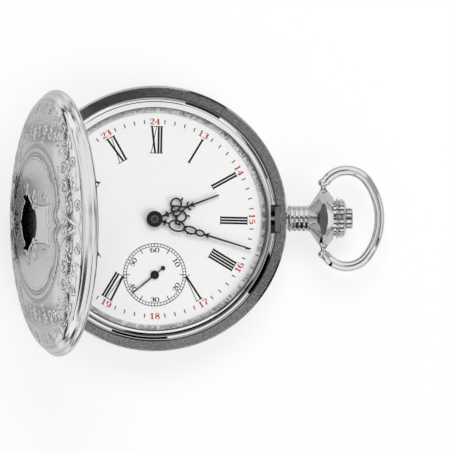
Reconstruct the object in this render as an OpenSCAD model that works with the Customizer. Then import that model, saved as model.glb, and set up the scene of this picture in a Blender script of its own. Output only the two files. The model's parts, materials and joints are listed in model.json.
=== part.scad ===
// Full hunter pocket watch: a case with two hinged covers and a dust cover, keyless winding at three
// o'clock, and a bridge movement with small seconds. The dial faces +Z, three o'clock is +X, twelve
// o'clock is +Y.

/* [Case] */
// Outer diameter of the case middle
case_d = 48; // [47:0.5:52]
// Height of the case middle between the two covers
band_h = 4; // [3.8:0.1:4.4]
// Radial thickness of the outer wall of the case middle
band_wall = 1.1; // [0.9:0.1:1.3]
// Height of a cover's dome above the middle of its bead
dome_h = 4.6; // [4.4:0.1:5.4]
// Exponent that flattens the dome and tightens its shoulder
dome_power = 2.4; // [2:0.1:3]
// Radius of the flat in the middle of each cover, on which the watch lies
rest_r = 3; // [2:0.5:5]
// Sheet thickness of the covers
cover_t = 0.6; // [0.5:0.05:0.7]
// Radius of the polished bead round a cover's edge
bead_r = 0.6; // [0.55:0.05:0.7]
// Angle at which the front cover stands open
front_open = 72.6; // [0:0.1:88]
// Parting gap between a closed cover and the case middle
part_gap = 0.05; // [0.03:0.01:0.1]

/* [Hinges] */
// Outer radius of a hinge knuckle
knuckle_r = 0.8; // [0.7:0.05:0.9]
// Length of one knuckle
knuckle_len = 1.8; // [1.5:0.1:2.2]
// Radius of the hinge pins
pin_r = 0.35; // [0.3:0.05:0.4]

/* [Pendant and bow] */
// Radius of the neck between case and collar
neck_r = 2.45; // [2.1:0.05:2.6]
// Length of the neck
neck_len = 4.2; // [3.8:0.1:5]
// Greatest radius of the collar that carries the bow
collar_r = 5.9; // [5.5:0.1:6.2]
// Length of the collar along the winding axis
collar_len = 4.1; // [3.9:0.1:4.6]
// Distance from the axis to each of the collar's six flats
collar_flat = 4.95; // [4.85:0.05:5.2]
// Radius of the bow's wire
bow_wire_r = 0.9; // [0.8:0.05:1.05]
// Half the bow's width, to the middle of its wire
bow_half_w = 8.7; // [8.4:0.1:9.6]
// Reach of the bow from its pivots, to the middle of its wire
bow_reach = 10.15; // [9.8:0.1:12]
// Radius of the bow's corners, to the middle of its wire
bow_corner_r = 4.6; // [4.2:0.1:4.8]
// Radius of the bow's pivot ends
bow_pivot_r = 0.5; // [0.4:0.05:0.6]

/* [Crown] */
// Greatest radius of the fluted crown
crown_r = 3.8; // [3.5:0.1:4]
// Depth of the crown's flutes
flute_depth = 0.3; // [0.2:0.05:0.4]
// Length of the crown
crown_len = 3.5; // [3:0.1:3.8]
// Number of flutes round the crown
crown_flutes = 24; // [16:1:28]
// Radius of the small cap on the crown
cap_r = 1.9; // [1.6:0.1:2.2]
// Length of the cap
cap_len = 1.15; // [0.9:0.05:1.5]
// Travel of the crown when it is pressed to open the front cover
press_travel = 0.45; // [0.3:0.05:0.5]
// Travel of the crown when it is pulled out to set the hands
pull_travel = 0.7; // [0.5:0.1:0.8]

/* [Glass and dial] */
// Outer radius of the bezel
bezel_r = 22.1; // [21.9:0.1:22.3]
// Height of the bezel above the case middle
bezel_h = 1.7; // [1.5:0.1:1.9]
// Rise of the glass above its rim
glass_rise = 1.55; // [1.4:0.05:1.9]
// Thickness of the glass
glass_t = 0.45; // [0.4:0.05:0.5]
// Thickness of the enamel dial
dial_t = 0.4; // [0.3:0.05:0.5]
// Distance of the seconds axis below the hand axis
seconds_offset = 10.14; // [9.9:0.02:10.4]

/* [Hands] */
// Length of the hour hand
hour_len = 12.35; // [11:0.05:13]
// Length of the minute hand
minute_len = 18.2; // [16:0.05:18.3]
// Length of the seconds hand
seconds_len = 5.25; // [4.5:0.05:5.4]
// Thickness of the hands
hand_t = 0.15; // [0.12:0.01:0.18]
// Line width of the pierced scrolls in the hands
scroll_w = 0.24; // [0.16:0.01:0.26]
// Hour hand's angle clockwise from twelve
hour_at = 69.4; // [0:0.1:360]
// Minute hand's angle clockwise from twelve
minute_at = 107.3; // [0:0.1:360]
// Seconds hand's angle clockwise from twelve
seconds_at = 230.9; // [0:0.1:360]

/* [Movement] */
// Diameter of the movement
movement_d = 36.6; // [36:0.1:37]
// Thickness of the main plate
plate_t = 1.9; // [1.8:0.05:2.05]
// Height of the space for the wheels, between plate and bridges
train_h = 1.7; // [1.65:0.05:1.9]
// Thickness of the bridges
bridge_t = 1; // [0.8:0.05:1.1]
// Thickness of the winding wheels on the bridge
winding_t = 0.4; // [0.3:0.05:0.45]
// Thickness of the train wheels' plates
wheel_t = 0.18; // [0.14:0.01:0.2]
// Radius of the balance's rim
balance_r = 4.7; // [4.2:0.1:4.8]
// Radius of the balance rim's screws
balance_screw_r = 0.22; // [0.18:0.02:0.24]
// Turns of the balance spring
hairspring_turns = 7; // [5:1:9]
// Turns of the mainspring
mainspring_turns = 6; // [4:1:7]
// Radius of the jewels
jewel_r = 0.6; // [0.5:0.05:0.65]
// Running clearance between a turning part and its bearing
running = 0.03; // [0.02:0.01:0.05]

/* [Hidden] */
$fn = 96;

eps = 0.01;
seat = 0.01;
case_r = case_d / 2;
mov_r = movement_d / 2;

// Heights: the back dome's crown touches z = 0.
cover_rise = bead_r + dome_h;
band_z0 = cover_rise + part_gap;
band_z1 = band_z0 + band_h;
stem_z = band_z0 + band_h / 2;
plate_z1 = band_z1 - 0.3;
plate_z0 = plate_z1 - plate_t;
flange_t = 0.4;
ledge_z = plate_z1 - flange_t;
dial_z1 = plate_z1 + dial_t;
bridge_z1 = plate_z0 - train_h;
bridge_z0 = bridge_z1 - bridge_t;
winding_z1 = bridge_z0 - 0.05;
winding_z0 = winding_z1 - winding_t;

// Case middle: an outer wall with flanges, and a ledge that carries the movement.
wall_in_r = case_r - band_wall;
ledge_r = mov_r + 0.15;
plate_flange_r = mov_r + 1.15;
dial_r = plate_flange_r - 0.05;
bezel_in_r = dial_r + 0.75;
window_in_r = bezel_r - 1.1;
window_out_r = wall_in_r - 0.1;
ledge_out_r = plate_flange_r + 0.75;
back_bore_r = mov_r + 1.7;
flange_z = 0.6;
window_half = 2.6;

// Covers: profile radii in the plane through the axis, heights above the parting plane.
dome_a = case_r - bead_r * 2 / 3;
dome_in_a = dome_a - cover_t;
groove_r = case_r - bead_r - 0.1;
dome_steps = 20;
lip_r = dome_in_a - 0.25;
lip_h = 0.3;
snap_out = 0.05;

// Hinges: five knuckles on a pin parallel to Y, just outside the case middle at nine o'clock.
hinge_x = -(case_r + 0.05);
front_hinge_z = band_z1 + part_gap / 2;
back_hinge_z = band_z0 - part_gap / 2;
knuckle_gap = 0.06;
knuckle_room = 0.1;
knuckle_count = 5;
pin_hole_r = pin_r + running;

// Winding axis, along +X at the height of the case middle's centre.
neck_x0 = case_r + 0.05;
collar_x0 = neck_x0 + neck_len;
collar_mid_x = collar_x0 + collar_len * 0.56;
collar_x1 = collar_x0 + collar_len;
foot_r = band_h * 0.46;
foot_in_x = case_r - 0.75;
sleeve_r = 1.5;
sleeve_in_r = 0.66;
cup_r = crown_r - 0.45;
cup_x = collar_x1 - 1.9;
crown_x0 = cup_x + press_travel + 0.3;
crown_x1 = crown_x0 + crown_len;
crown_skirt_r = cup_r - 0.12;
stem_r = 0.6;
stem_thread_r = 0.45;
bow_x1 = collar_mid_x + bow_reach;
bow_side_x = collar_mid_x + bow_reach * 0.414;
bow_w = bow_half_w - bow_corner_r;
bow_e = bow_x1 - bow_corner_r;
bow_arc_x = (bow_e * bow_e - bow_side_x * bow_side_x - bow_w * bow_w) / (2 * (bow_e - bow_side_x));
bow_arc_r = bow_x1 - bow_arc_x;
bow_arc_a = atan2(bow_w, bow_side_x - bow_arc_x);
bow_end_a = 150;
collar_side_y = collar_flat / cos(30);

// Glass.
glass_seat_z = band_z1 + 0.4;
glass_r = bezel_in_r - 0.05;
glass_edge = 0.55;
glass_top_z = glass_seat_z + glass_edge + glass_rise;
glass_shoulder_r = glass_r - 1.5;
glass_steps = 14;

// Gear train: teeth, modules and centres in the dial's plane.
centre_teeth = 80;
third_teeth = 75;
fourth_teeth = 80;
escape_teeth = 15;
pinion_teeth = 10;
escape_pinion_teeth = 8;
barrel_teeth = 80;
barrel_m = 0.2;
centre_m = 0.15;
fourth_m = 0.11;
barrel_dist = barrel_m * (barrel_teeth + pinion_teeth) / 2;
barrel_ang = 65;
barrel_c = polar(barrel_dist, barrel_ang);
third_dist = centre_m * (centre_teeth + pinion_teeth) / 2;
third_m = 0.13;
third_to_fourth = third_m * (third_teeth + pinion_teeth) / 2;
third_ang = -90 + acos((pow(third_dist, 2) + pow(seconds_offset, 2) - pow(third_to_fourth, 2))
    / (2 * third_dist * seconds_offset));
third_c = polar(third_dist, third_ang);
fourth_c = [0, -seconds_offset];
escape_dist = fourth_m * (fourth_teeth + escape_pinion_teeth) / 2;
escape_ang = 199.9;
escape_c = fourth_c + polar(escape_dist, escape_ang);
balance_c = [-10.9, -6.6];
escape_r = 2.75;
to_balance = balance_c - escape_c;
pallet_ang = atan2(to_balance[1], to_balance[0]);
pallet_c = escape_c + polar(escape_r * 1.155, pallet_ang);

// Motion works under the dial.
motion_m = 0.15;
cannon_teeth = 10;
minute_teeth = 30;
minute_pinion_teeth = 8;
hour_teeth = 32;
minute_c = polar(motion_m * (cannon_teeth + minute_teeth) / 2, -25);
setting_teeth = 44;
setting_c = minute_c + polar(motion_m * (minute_teeth + setting_teeth) / 2, 8);
setting_r = motion_m * (setting_teeth / 2 + 1);
motion_z = plate_z1 - 0.9;
motion_t = 0.25;
hour_wheel_z = motion_z + motion_t + 0.2;

// Winding work.
winding_m = 0.25;
ratchet_teeth = 54;
crown_wheel_teeth = 36;
winding_dist = winding_m * (ratchet_teeth + crown_wheel_teeth) / 2;
crown_wheel_x = barrel_c[0] + sqrt(winding_dist * winding_dist - barrel_c[1] * barrel_c[1]);
crown_wheel_c = [crown_wheel_x, 0];
face_teeth = 28;
face_r0 = 2.9;
face_r1 = 3.6;
winding_teeth = 12;
winding_pinion_m = (face_r0 + face_r1) / face_teeth;
winding_pitch_r = winding_pinion_m * winding_teeth / 2;
face_tip_z = stem_z - winding_pitch_r + winding_pinion_m * 0.8;
face_root_z = stem_z - winding_pitch_r - winding_pinion_m * 1.25;
winding_x0 = crown_wheel_x + face_r0 - 0.1;
winding_x1 = winding_x0 + 1.2;
sliding_x1 = winding_x0 - 0.05;
sliding_x0 = sliding_x1 - 1.4;
sliding_r = 1.3;
square_w = 0.8;
core_r = 0.5;
slot_x0 = crown_wheel_x + core_r + 0.03;
stem_in_x = slot_x0 + press_travel + 0.06;
lever_pin_x = winding_x1 + 0.75;

// Levels of the train between plate and bridges.
centre_wheel_z = plate_z0 + 0.1;
barrel_z0 = bridge_z1 + 0.15;
barrel_z1 = plate_z0 - 0.1;
barrel_teeth_t = 0.35;
barrel_r = 7.5;
barrel_wall = 0.35;
third_wheel_z = bridge_z1 + 0.7;
fourth_wheel_z = plate_z0 - 0.35;
escape_z = bridge_z1 + 0.5;
balance_z0 = bridge_z1 - 0.55;
balance_t = 0.4;
cock_z0 = bridge_z0 - 0.55;
cock_t = 0.6;
hairspring_z = balance_z0 - 0.28;
hairspring_h = 0.14;
hairspring_r = 2.3;
arbor_r = 0.25;
pivot_r = 0.1;
jewel_t = 0.35;
centre_arbor_r = 0.43;

// Hand heights above the dial.
seconds_z = dial_z1 + 0.2;
hour_z = dial_z1 + 0.55;
minute_z = hour_z + hand_t + 0.2;
cannon_r = 0.75;
hour_pipe_r = 1.05;
hub_r = 1.43;

// Bridge pads, each with its screw: [radius, angle] from the hand axis.
barrel_pads = [[16.4, -19], [16.4, 26], [16.2, 113]];
train_pads = [[16.4, -35], [15.6, -62], [16.4, -92]];
cock_pads = [[15.2, 168]];
stud_ang = toward(balance_c, polar(cock_pads[0][0], cock_pads[0][1]));
pallet_pads = [[16.2, 238]];
pad_r = 1.4;
screw_r = 0.35;
screw_head_r = 0.8;
screw_head_t = 0.35;
case_screw_angles = [140, 314];
case_screw_at = mov_r - 0.55;

function polar(r, a) = [r * cos(a), r * sin(a)];
// Height of a cover's dome at a radius: flat in the middle, then a curve that steepens to the edge.
function dome_share(r, a) = pow(max(0, 1 - pow(r / a, 2)), 1 / dome_power);
function dome(r, a, h) = h * min(1, dome_share(r, a) / dome_share(rest_r, a));
function gear_points(teeth, m, at) = let (pitch = 360 / teeth, tip = m * teeth / 2 + m,
    root = tip - 2.25 * m)
    [for (i = [0:teeth - 1]) each [
        polar(root, at + pitch * (i - 0.33)), polar(tip, at + pitch * (i - 0.13)),
        polar(tip, at + pitch * (i + 0.13)), polar(root, at + pitch * (i + 0.33))]];
// Phase of a wheel's teeth that mesh with another's: direction between them, the other's teeth and
// phase, own teeth.
function mesh_at(dir, teeth_a, at_a, teeth_b) = dir + 180 - (at_a - dir)
    * teeth_a / teeth_b + 180 / teeth_b;
function spiral_points(r0, r1, turns, w, steps) = let (n = turns * steps)
    concat([for (i = [0:n]) polar(r0 + (r1 - r0) * i / n + w / 2, 360 * i / steps)],
        [for (i = [n:-1:0]) polar(r0 + (r1 - r0) * i / n - w / 2, 360 * i / steps)]);
function arc_points(c, rx, ry, a0, a1, n) =
    [for (i = [0:n]) let (a = a0 + (a1 - a0) * i / n) c + [rx * cos(a), ry * sin(a)]];
function side_point(path, i, w) = let (back = path[max(i - 1, 0)], next = path[min(i + 1, len(path) - 1)],
    d = (next - back) / norm(next - back)) path[i] + w / 2 * [-d[1], d[0]];
function stroke_points(path, w) = concat([for (i = [0:len(path) - 1]) side_point(path, i, w)],
    [for (i = [len(path) - 1:-1:0]) side_point(path, i, -w)]);
function toward(from, to) = atan2(to[1] - from[1], to[0] - from[0]);

// A disc or a tube between two heights.
module disc(z0, z1, r, in_r = 0) {
    difference() {
        translate([0, 0, z0]) cylinder(r = r, h = z1 - z0);
        if (in_r > 0) translate([0, 0, z0 - 1]) cylinder(r = in_r, h = z1 - z0 + 2);
    }
}

module plate(z0, z1) {
    translate([0, 0, z0]) linear_extrude(height = z1 - z0) children();
}

// Puts a body of revolution on the winding axis: its Z becomes +X.
module on_stem() {
    translate([0, 0, stem_z]) rotate([0, 90, 0]) children();
}

module stem_tube(x0, x1, r, in_r = 0) {
    on_stem() disc(x0, x1, r, in_r);
}

module gear2d(teeth, m, at, bore) {
    difference() {
        polygon(gear_points(teeth, m, at));
        circle(r = bore);
    }
}

// A wheel with crossings: rim, hub and straight arms.
module crossed2d(teeth, m, at, bore, hub, rim_w, arms, arm_w) {
    rim = m * teeth / 2 - 1.25 * m - rim_w;
    difference() {
        gear2d(teeth, m, at, bore);
        difference() {
            circle(r = rim);
            circle(r = hub);
            for (i = [0:arms - 1]) rotate(i * 360 / arms) translate([0, -arm_w / 2]) square([rim + 1,
                arm_w]);
        }
    }
}

module knuckle(i, z, hole) {
    y0 = (i - knuckle_count / 2) * knuckle_len + knuckle_gap / 2;
    translate([hinge_x, y0, z]) rotate([-90, 0, 0]) difference() {
        cylinder(r = knuckle_r, h = knuckle_len - knuckle_gap);
        translate([0, 0, -1]) cylinder(r = hole, h = knuckle_len + 2);
    }
}

module knuckle_cut(i, z) {
    y0 = (i - knuckle_count / 2) * knuckle_len - knuckle_gap / 2;
    translate([hinge_x, y0, z]) rotate([-90, 0, 0])
        cylinder(r = knuckle_r + knuckle_room, h = knuckle_len + knuckle_gap);
}

module hinge_hole(z) {
    translate([hinge_x, -knuckle_len * knuckle_count, z]) rotate([-90, 0, 0])
        cylinder(r = pin_hole_r, h = 2 * knuckle_len * knuckle_count);
}

module hinge_pin(z) {
    half = knuckle_len * knuckle_count / 2;
    translate([hinge_x, -half, z]) rotate([-90, 0, 0]) cylinder(r = pin_r, h = 2 * half);
}

// One cover, its parting plane at z = 0 and its dome towards +Z.
module cover_shell() {
    bead = [for (a = [-60:15:75]) [case_r - bead_r + bead_r * cos(a), bead_r + bead_r * sin(a)]];
    outer_top = asin(min(1, (groove_r - 0.1) / dome_a));
    outer = [for (i = [0:dome_steps]) let (r = dome_a * sin(outer_top * (1 - i / dome_steps)))
        if (r > rest_r + 0.1) [r, bead_r + dome(r, dome_a, dome_h)]];
    inner = [for (i = [0:dome_steps]) let (r = dome_in_a * sin(90 * i / dome_steps))
        if (r > rest_r + 0.1) [r, bead_r + dome(r, dome_in_a, dome_h - cover_t)]];
    in_rise = cover_rise - cover_t;
    rest = [[rest_r, cover_rise], [0, cover_rise], [0, in_rise], [rest_r, in_rise]];
    rotate_extrude() polygon(concat([[lip_r, 0]], bead, [[groove_r, bead_r * 1.93]], outer, rest, inner,
        [[dome_in_a, lip_h + 0.15], [lip_r, lip_h]]));
}

// Front cover, closed.
module front_cover_closed() {
    z = band_z1 + part_gap;
    difference() {
        union() {
            difference() {
                translate([0, 0, z]) cover_shell();
                for (i = [0, 2, 4]) knuckle_cut(i, front_hinge_z);
            }
            for (i = [1, 3]) knuckle(i, front_hinge_z, pin_hole_r);
        }
        hinge_hole(front_hinge_z);
    }
}

module front_cover() {
    color("silver") translate([hinge_x, 0, front_hinge_z]) rotate([0, -front_open, 0])
        translate([-hinge_x, 0, -front_hinge_z]) front_cover_closed();
}

module back_cover() {
    z = band_z0 - part_gap;
    color("silver") difference() {
        union() {
            difference() {
                translate([0, 0, z]) mirror([0, 0, 1]) cover_shell();
                for (i = [0, 2, 4]) knuckle_cut(i, back_hinge_z);
                translate([hinge_x, -knuckle_len / 2 - knuckle_gap, z - cuvette_arm_t - 0.2])
                    cube([-hinge_x - dome_in_a + 1, knuckle_len + 2 * knuckle_gap, cuvette_arm_t + 1]);
            }
            for (i = [1, 3]) knuckle(i, back_hinge_z, pin_hole_r);
        }
        hinge_hole(back_hinge_z);
    }
}

// Dust cover: a thin shallow dish that snaps into the back of the case middle, with one hinge knuckle.
cuvette_r = dome_in_a - 1.4;
cuvette_t = 0.4;
cuvette_z = band_z0 - part_gap;
cuvette_flat_z = winding_z0 - 0.75;
cuvette_skirt_r = back_bore_r - 0.08;
cuvette_arm_t = 0.35;
module cuvette() {
    shoulder = cuvette_skirt_r - 1.2;
    color("gainsboro") difference() {
        union() {
            rotate_extrude() polygon([
                [0, cuvette_flat_z - cuvette_t], [shoulder, cuvette_flat_z - cuvette_t],
                [cuvette_skirt_r + 0.15, cuvette_z - 0.75], [cuvette_r - 0.1, cuvette_z - 0.45],
                    [cuvette_r, cuvette_z - 0.3],
                [cuvette_r, cuvette_z], [cuvette_skirt_r, cuvette_z], [cuvette_skirt_r - 0.05,
                    cuvette_z + 0.45],
                [cuvette_skirt_r - 0.45, cuvette_z + 0.45], [cuvette_skirt_r - 0.5, cuvette_z - 0.35],
                [shoulder - 0.15, cuvette_flat_z], [0, cuvette_flat_z]]);
            knuckle(2, back_hinge_z, pin_hole_r);
            translate([hinge_x, -knuckle_len / 2 + knuckle_gap / 2, cuvette_z - cuvette_arm_t])
                cube([-hinge_x - cuvette_r + 0.5, knuckle_len - knuckle_gap, cuvette_arm_t - 0.05]);
        }
        hinge_hole(back_hinge_z);
    }
}

module mid_case() {
    color("silver") difference() {
        union() {
            difference() {
                rotate_extrude() polygon([
                    [ledge_r, plate_z0], [ledge_r, ledge_z], [plate_flange_r + 0.05, ledge_z],
                    [plate_flange_r + 0.05, band_z1], [case_r - 0.3, band_z1], [case_r, band_z1 - 0.3],
                    [case_r, band_z0 + 0.3], [case_r - 0.3, band_z0], [back_bore_r, band_z0],
                    [back_bore_r, band_z0 + flange_z], [wall_in_r, band_z0 + flange_z],
                    [wall_in_r, band_z1 - flange_z], [ledge_out_r, band_z1 - flange_z], [ledge_out_r,
                        plate_z0]]);
                for (i = [1, 3]) knuckle_cut(i, front_hinge_z);
                for (i = [1, 2, 3]) knuckle_cut(i, back_hinge_z);
            }
            for (i = [0, 2, 4]) knuckle(i, front_hinge_z, pin_hole_r);
            for (i = [0, 4]) knuckle(i, back_hinge_z, pin_hole_r);
        }
        hinge_hole(front_hinge_z);
        hinge_hole(back_hinge_z);
        stem_tube(mov_r - 1, case_r + 1, foot_r + seat);
        translate([window_in_r, -window_half, band_z1 - flange_z - 0.5])
            cube([window_out_r - window_in_r, 2 * window_half, flange_z + 1]);
        for (a = spring_screw_angles) rotate(a) translate([0, 0, stem_z]) rotate([0, 90, 0])
            translate([0, 0, wall_in_r - 0.5]) cylinder(r = 0.3 + seat, h = 1.1);
    }
}

// Springs in the channel of the case middle, each held by a radial screw.
spring_screw_angles = [-52, 128];
spring_t = 0.35;
spring_h = band_h - 2 * flange_z - 0.5;
spring_z = band_z0 + flange_z + 0.1;
spring_out_r = wall_in_r - 0.08;
module spring_strip(a0, a1) {
    plate(spring_z, spring_z + spring_h) difference() {
        intersection() {
            difference() {
                circle(r = spring_out_r);
                circle(r = spring_out_r - spring_t);
            }
            polygon([[0, 0], polar(2 * case_r, a0), polar(2 * case_r, (a0 + a1) / 2), polar(2 * case_r,
                a1)]);
        }
    }
}

module lift_spring() {
    color("lightsteelblue") difference() {
        spring_strip(spring_screw_angles[1] - 6, 176);
        rotate(spring_screw_angles[1]) translate([0, 0, stem_z]) rotate([0, 90, 0])
            cylinder(r = 0.3 + seat, h = case_r);
    }
}

// Lock spring: a strip that ends in an upright tongue, whose nose holds the front cover's lip.
tongue_half = window_half - 0.4;
tongue_x1 = wall_in_r - 0.62;
tongue_x0 = tongue_x1 - 0.5;
nose_z = band_z1 + part_gap + lip_h + snap_out;
module lock_spring() {
    color("lightsteelblue") difference() {
        union() {
            spring_strip(spring_screw_angles[0] - 3, -7.5);
            intersection() {
                translate([tongue_x0, -3.2, spring_z]) cube([tongue_x1 + 0.55 - tongue_x0,
                    3.2 - tongue_half + 0.1, spring_h]);
                disc(spring_z, spring_z + spring_h, spring_out_r);
            }
            translate([tongue_x0, -tongue_half, spring_z])
                cube([tongue_x1 - tongue_x0, 2 * tongue_half, nose_z + 0.35 - spring_z]);
            translate([tongue_x1 - 0.05, -tongue_half, nose_z])
                cube([lip_r - 0.05 - tongue_x1 + 0.05, 2 * tongue_half, 0.35]);
        }
        rotate(spring_screw_angles[0]) translate([0, 0, stem_z]) rotate([0, 90, 0])
            cylinder(r = 0.3 + seat, h = case_r);
        stem_tube(mov_r, case_r, stem_r + 0.45);
    }
}

module case_spring_screws() {
    color("steelblue") for (a = spring_screw_angles) rotate(a) on_stem() {
        disc(wall_in_r - spring_t - 0.4, wall_in_r + 0.5, 0.3);
        disc(wall_in_r - spring_t - 0.55, wall_in_r - spring_t - 0.1, 0.65);
    }
}

module bezel() {
    top = band_z1 + bezel_h;
    mid_r = (bezel_r + bezel_in_r) / 2 + 0.1;
    arc_w = bezel_r - mid_r;
    color("silver") difference() {
        rotate_extrude() polygon(concat(
            [[dial_r - 0.1, dial_z1 + 0.05], [plate_flange_r + 0.1, dial_z1 + 0.05],
                [plate_flange_r + 0.1, band_z1],
                [bezel_r, band_z1]],
            [for (a = [10:10:90]) [mid_r + arc_w * cos(a), band_z1 + 0.3 + (bezel_h - 0.3) * sin(a)]],
            [for (a = [105:15:165]) [mid_r + (mid_r - bezel_in_r) * cos(a), top - 0.5 + 0.5 * sin(a)]],
            [[bezel_in_r, top - 0.5], [bezel_in_r, glass_seat_z], [dial_r - 0.1, glass_seat_z]]));
        translate([window_in_r, -window_half, band_z1 - 1]) cube([5, 2 * window_half, bezel_h + 3]);
    }
}

module crystal() {
    z0 = glass_seat_z;
    edge_z = z0 + glass_edge;
    shoulder_z = edge_z + glass_rise * 0.5;
    crown_rise = glass_rise * 0.5;
    color([0.85, 0.92, 0.95, 0.35]) rotate_extrude() polygon(concat(
        [[glass_r, z0], [glass_r, edge_z - 0.15], [glass_r - 0.15, edge_z]],
        [for (i = [0:glass_steps]) let (r = glass_shoulder_r * (1 - i / glass_steps))
            [r, shoulder_z + crown_rise * (1 - pow(r / glass_shoulder_r, 2))]],
        [for (i = [0:glass_steps]) let (r = (glass_shoulder_r - 0.3) * i / glass_steps)
            [r, shoulder_z - glass_t + crown_rise * (1 - pow(r / (glass_shoulder_r - 0.3), 2))]],
        [[glass_r - 0.9, edge_z - 0.2], [glass_r - 0.9, z0]]));
}

module front_hinge_pin() {
    color("gray") hinge_pin(front_hinge_z);
}

module back_hinge_pin() {
    color("gray") hinge_pin(back_hinge_z);
}

// Pendant: a ringed neck and a six-sided double cone that carries the bow.
neck_rings = 5;
neck_flutes = 14;
ring_depth = 0.16;
neck_waist = 0.1;
neck_flute_r = 0.34;
module pendant() {
    wave = [for (i = [0:neck_rings * 6]) let (t = i / (neck_rings * 6))
        [neck_r - ring_depth * (1 + cos(360 * neck_rings * t)) - neck_waist * sin(180 * t),
            neck_x0 + neck_len * t]];
    color("silver") difference() {
        union() {
            difference() {
                on_stem() rotate_extrude() polygon(concat([[0, foot_in_x], [foot_r, foot_in_x],
                    [foot_r, neck_x0]], wave,
                    [[0, collar_x0]]));
                for (i = [0:neck_flutes - 1]) on_stem() rotate(360 * (i + 0.5) / neck_flutes)
                    translate([neck_r + 0.13, 0, neck_x0 + 0.5])
                        cylinder(r = neck_flute_r, h = neck_len - 1);
            }
            intersection() {
                on_stem() rotate_extrude() polygon([
                    [0, collar_x0 - 0.2], [neck_r - 0.1, collar_x0 - 0.2], [collar_r - 0.15,
                        collar_mid_x - 0.2], [collar_r, collar_mid_x],
                    [collar_r - 0.15, collar_mid_x + 0.2], [crown_r + 0.2, collar_x1 - 0.25], [crown_r,
                        collar_x1], [0, collar_x1]]);
                on_stem() rotate(30) translate([0, 0, collar_x0 - 1])
                    cylinder(r = collar_side_y, h = collar_len + 2, $fn = 6);
            }
        }
        stem_tube(foot_in_x - 1, cup_x + 1, sleeve_r + running);
        stem_tube(cup_x, collar_x1 + 1, cup_r);
        for (s = [-1, 1]) translate([collar_mid_x, s * (collar_side_y + 1), stem_z]) rotate([s * 90, 0,
            0])
            cylinder(r = bow_pivot_r + 0.05, h = 2.4);
    }
}

module push_sleeve() {
    color("lightsteelblue") stem_tube(tongue_x1 + 0.1, cup_x - 0.35, sleeve_r, sleeve_in_r);
}

module crown_gasket() {
    color("dimgray") stem_tube(crown_x0 + 0.12, crown_x0 + 0.62, crown_skirt_r - 0.9,
        stem_r + 0.06);
}

// Fluted onion crown in two tiers, hollow underneath.
module fluted(r) {
    flute_r = 0.72 * PI * r / crown_flutes;
    difference() {
        circle(r = r);
        for (i = [0:crown_flutes - 1]) rotate(360 * i / crown_flutes)
            translate([r + flute_r - flute_depth, 0]) circle(r = flute_r);
    }
}

module crown() {
    shoulder = crown_x0 - collar_x1;
    groove_x = crown_len * 0.6;
    tier_r = crown_r - 0.25;
    color("silver") difference() {
        on_stem() translate([0, 0, crown_x0]) intersection() {
            rotate_extrude() polygon([[0, 0], [crown_skirt_r, 0],
                [crown_skirt_r, press_travel + 0.03 - shoulder],
                [crown_r - 0.2, press_travel + 0.1 - shoulder], [crown_r, crown_len * 0.5],
                [crown_r, groove_x - 0.2], [tier_r - 0.3, groove_x], [tier_r, groove_x + 0.3],
                [tier_r - 0.12, crown_len * 0.84], [tier_r - 0.7, crown_len * 0.95], [cap_r, crown_len],
                [0, crown_len]]);
            union() {
                translate([0, 0, -1]) linear_extrude(height = groove_x + 1) fluted(crown_r);
                translate([0, 0, groove_x - 0.1]) linear_extrude(height = crown_len) fluted(tier_r);
            }
        }
        stem_tube(crown_x0 - 1, crown_x0 + 0.65, crown_skirt_r - 0.85);
        stem_tube(crown_x0 - 1, crown_x0 + 2.2, stem_thread_r + seat);
    }
}

cap_flutes = 12;
module crown_cap() {
    color("silver") on_stem() translate([0, 0, crown_x1]) difference() {
        rotate_extrude() polygon([[0, 0], [cap_r - 0.1, 0], [cap_r, 0.15], [cap_r, cap_len - 0.3],
            [cap_r - 0.35, cap_len], [0, cap_len]]);
        for (i = [0:cap_flutes - 1]) rotate(360 * i / cap_flutes) translate([cap_r + 0.12, 0, 0.25])
            cylinder(r = 0.28, h = cap_len);
    }
}

// Winding stem: thread in the crown, round body, setting groove and square.
module winding_stem() {
    square_x1 = sliding_x1 + press_travel + 0.03;
    color("lightsteelblue") difference() {
        union() {
            on_stem() rotate_extrude() polygon([
                [0, square_x1], [stem_r, square_x1], [stem_r, lever_pin_x - 0.25], [stem_r - 0.25,
                    lever_pin_x - 0.25],
                [stem_r - 0.25, lever_pin_x + 0.25 + press_travel], [stem_r,
                    lever_pin_x + 0.25 + press_travel],
                [stem_r, crown_x0 + 0.6], [stem_thread_r, crown_x0 + 0.65], [stem_thread_r,
                    crown_x0 + 2.1],
                [0, crown_x0 + 2.1]]);
            translate([stem_in_x, -square_w / 2, stem_z - square_w / 2])
                cube([square_x1 - stem_in_x + eps, square_w, square_w]);
        }
    }
}

// Bow: an oval ring of round wire, open at the collar, with turned pivots. Low rings sit where its arcs
// meet.
module bow_arc(c, r, a0, a1) {
    trim = asin(0.05 / r);
    translate([c[0], c[1], stem_z]) rotate(a0 + trim) rotate_extrude(angle = a1 - a0 - 2 * trim)
        translate([r, 0]) circle(r = bow_wire_r);
}

module bow_ring(a) {
    at = [bow_arc_x, 0] + polar(bow_arc_r, a);
    translate([at[0], at[1], stem_z]) rotate([-90, 0, a]) translate([0, 0, -0.2])
        cylinder(r = bow_wire_r + 0.03, h = 0.4);
}

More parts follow.
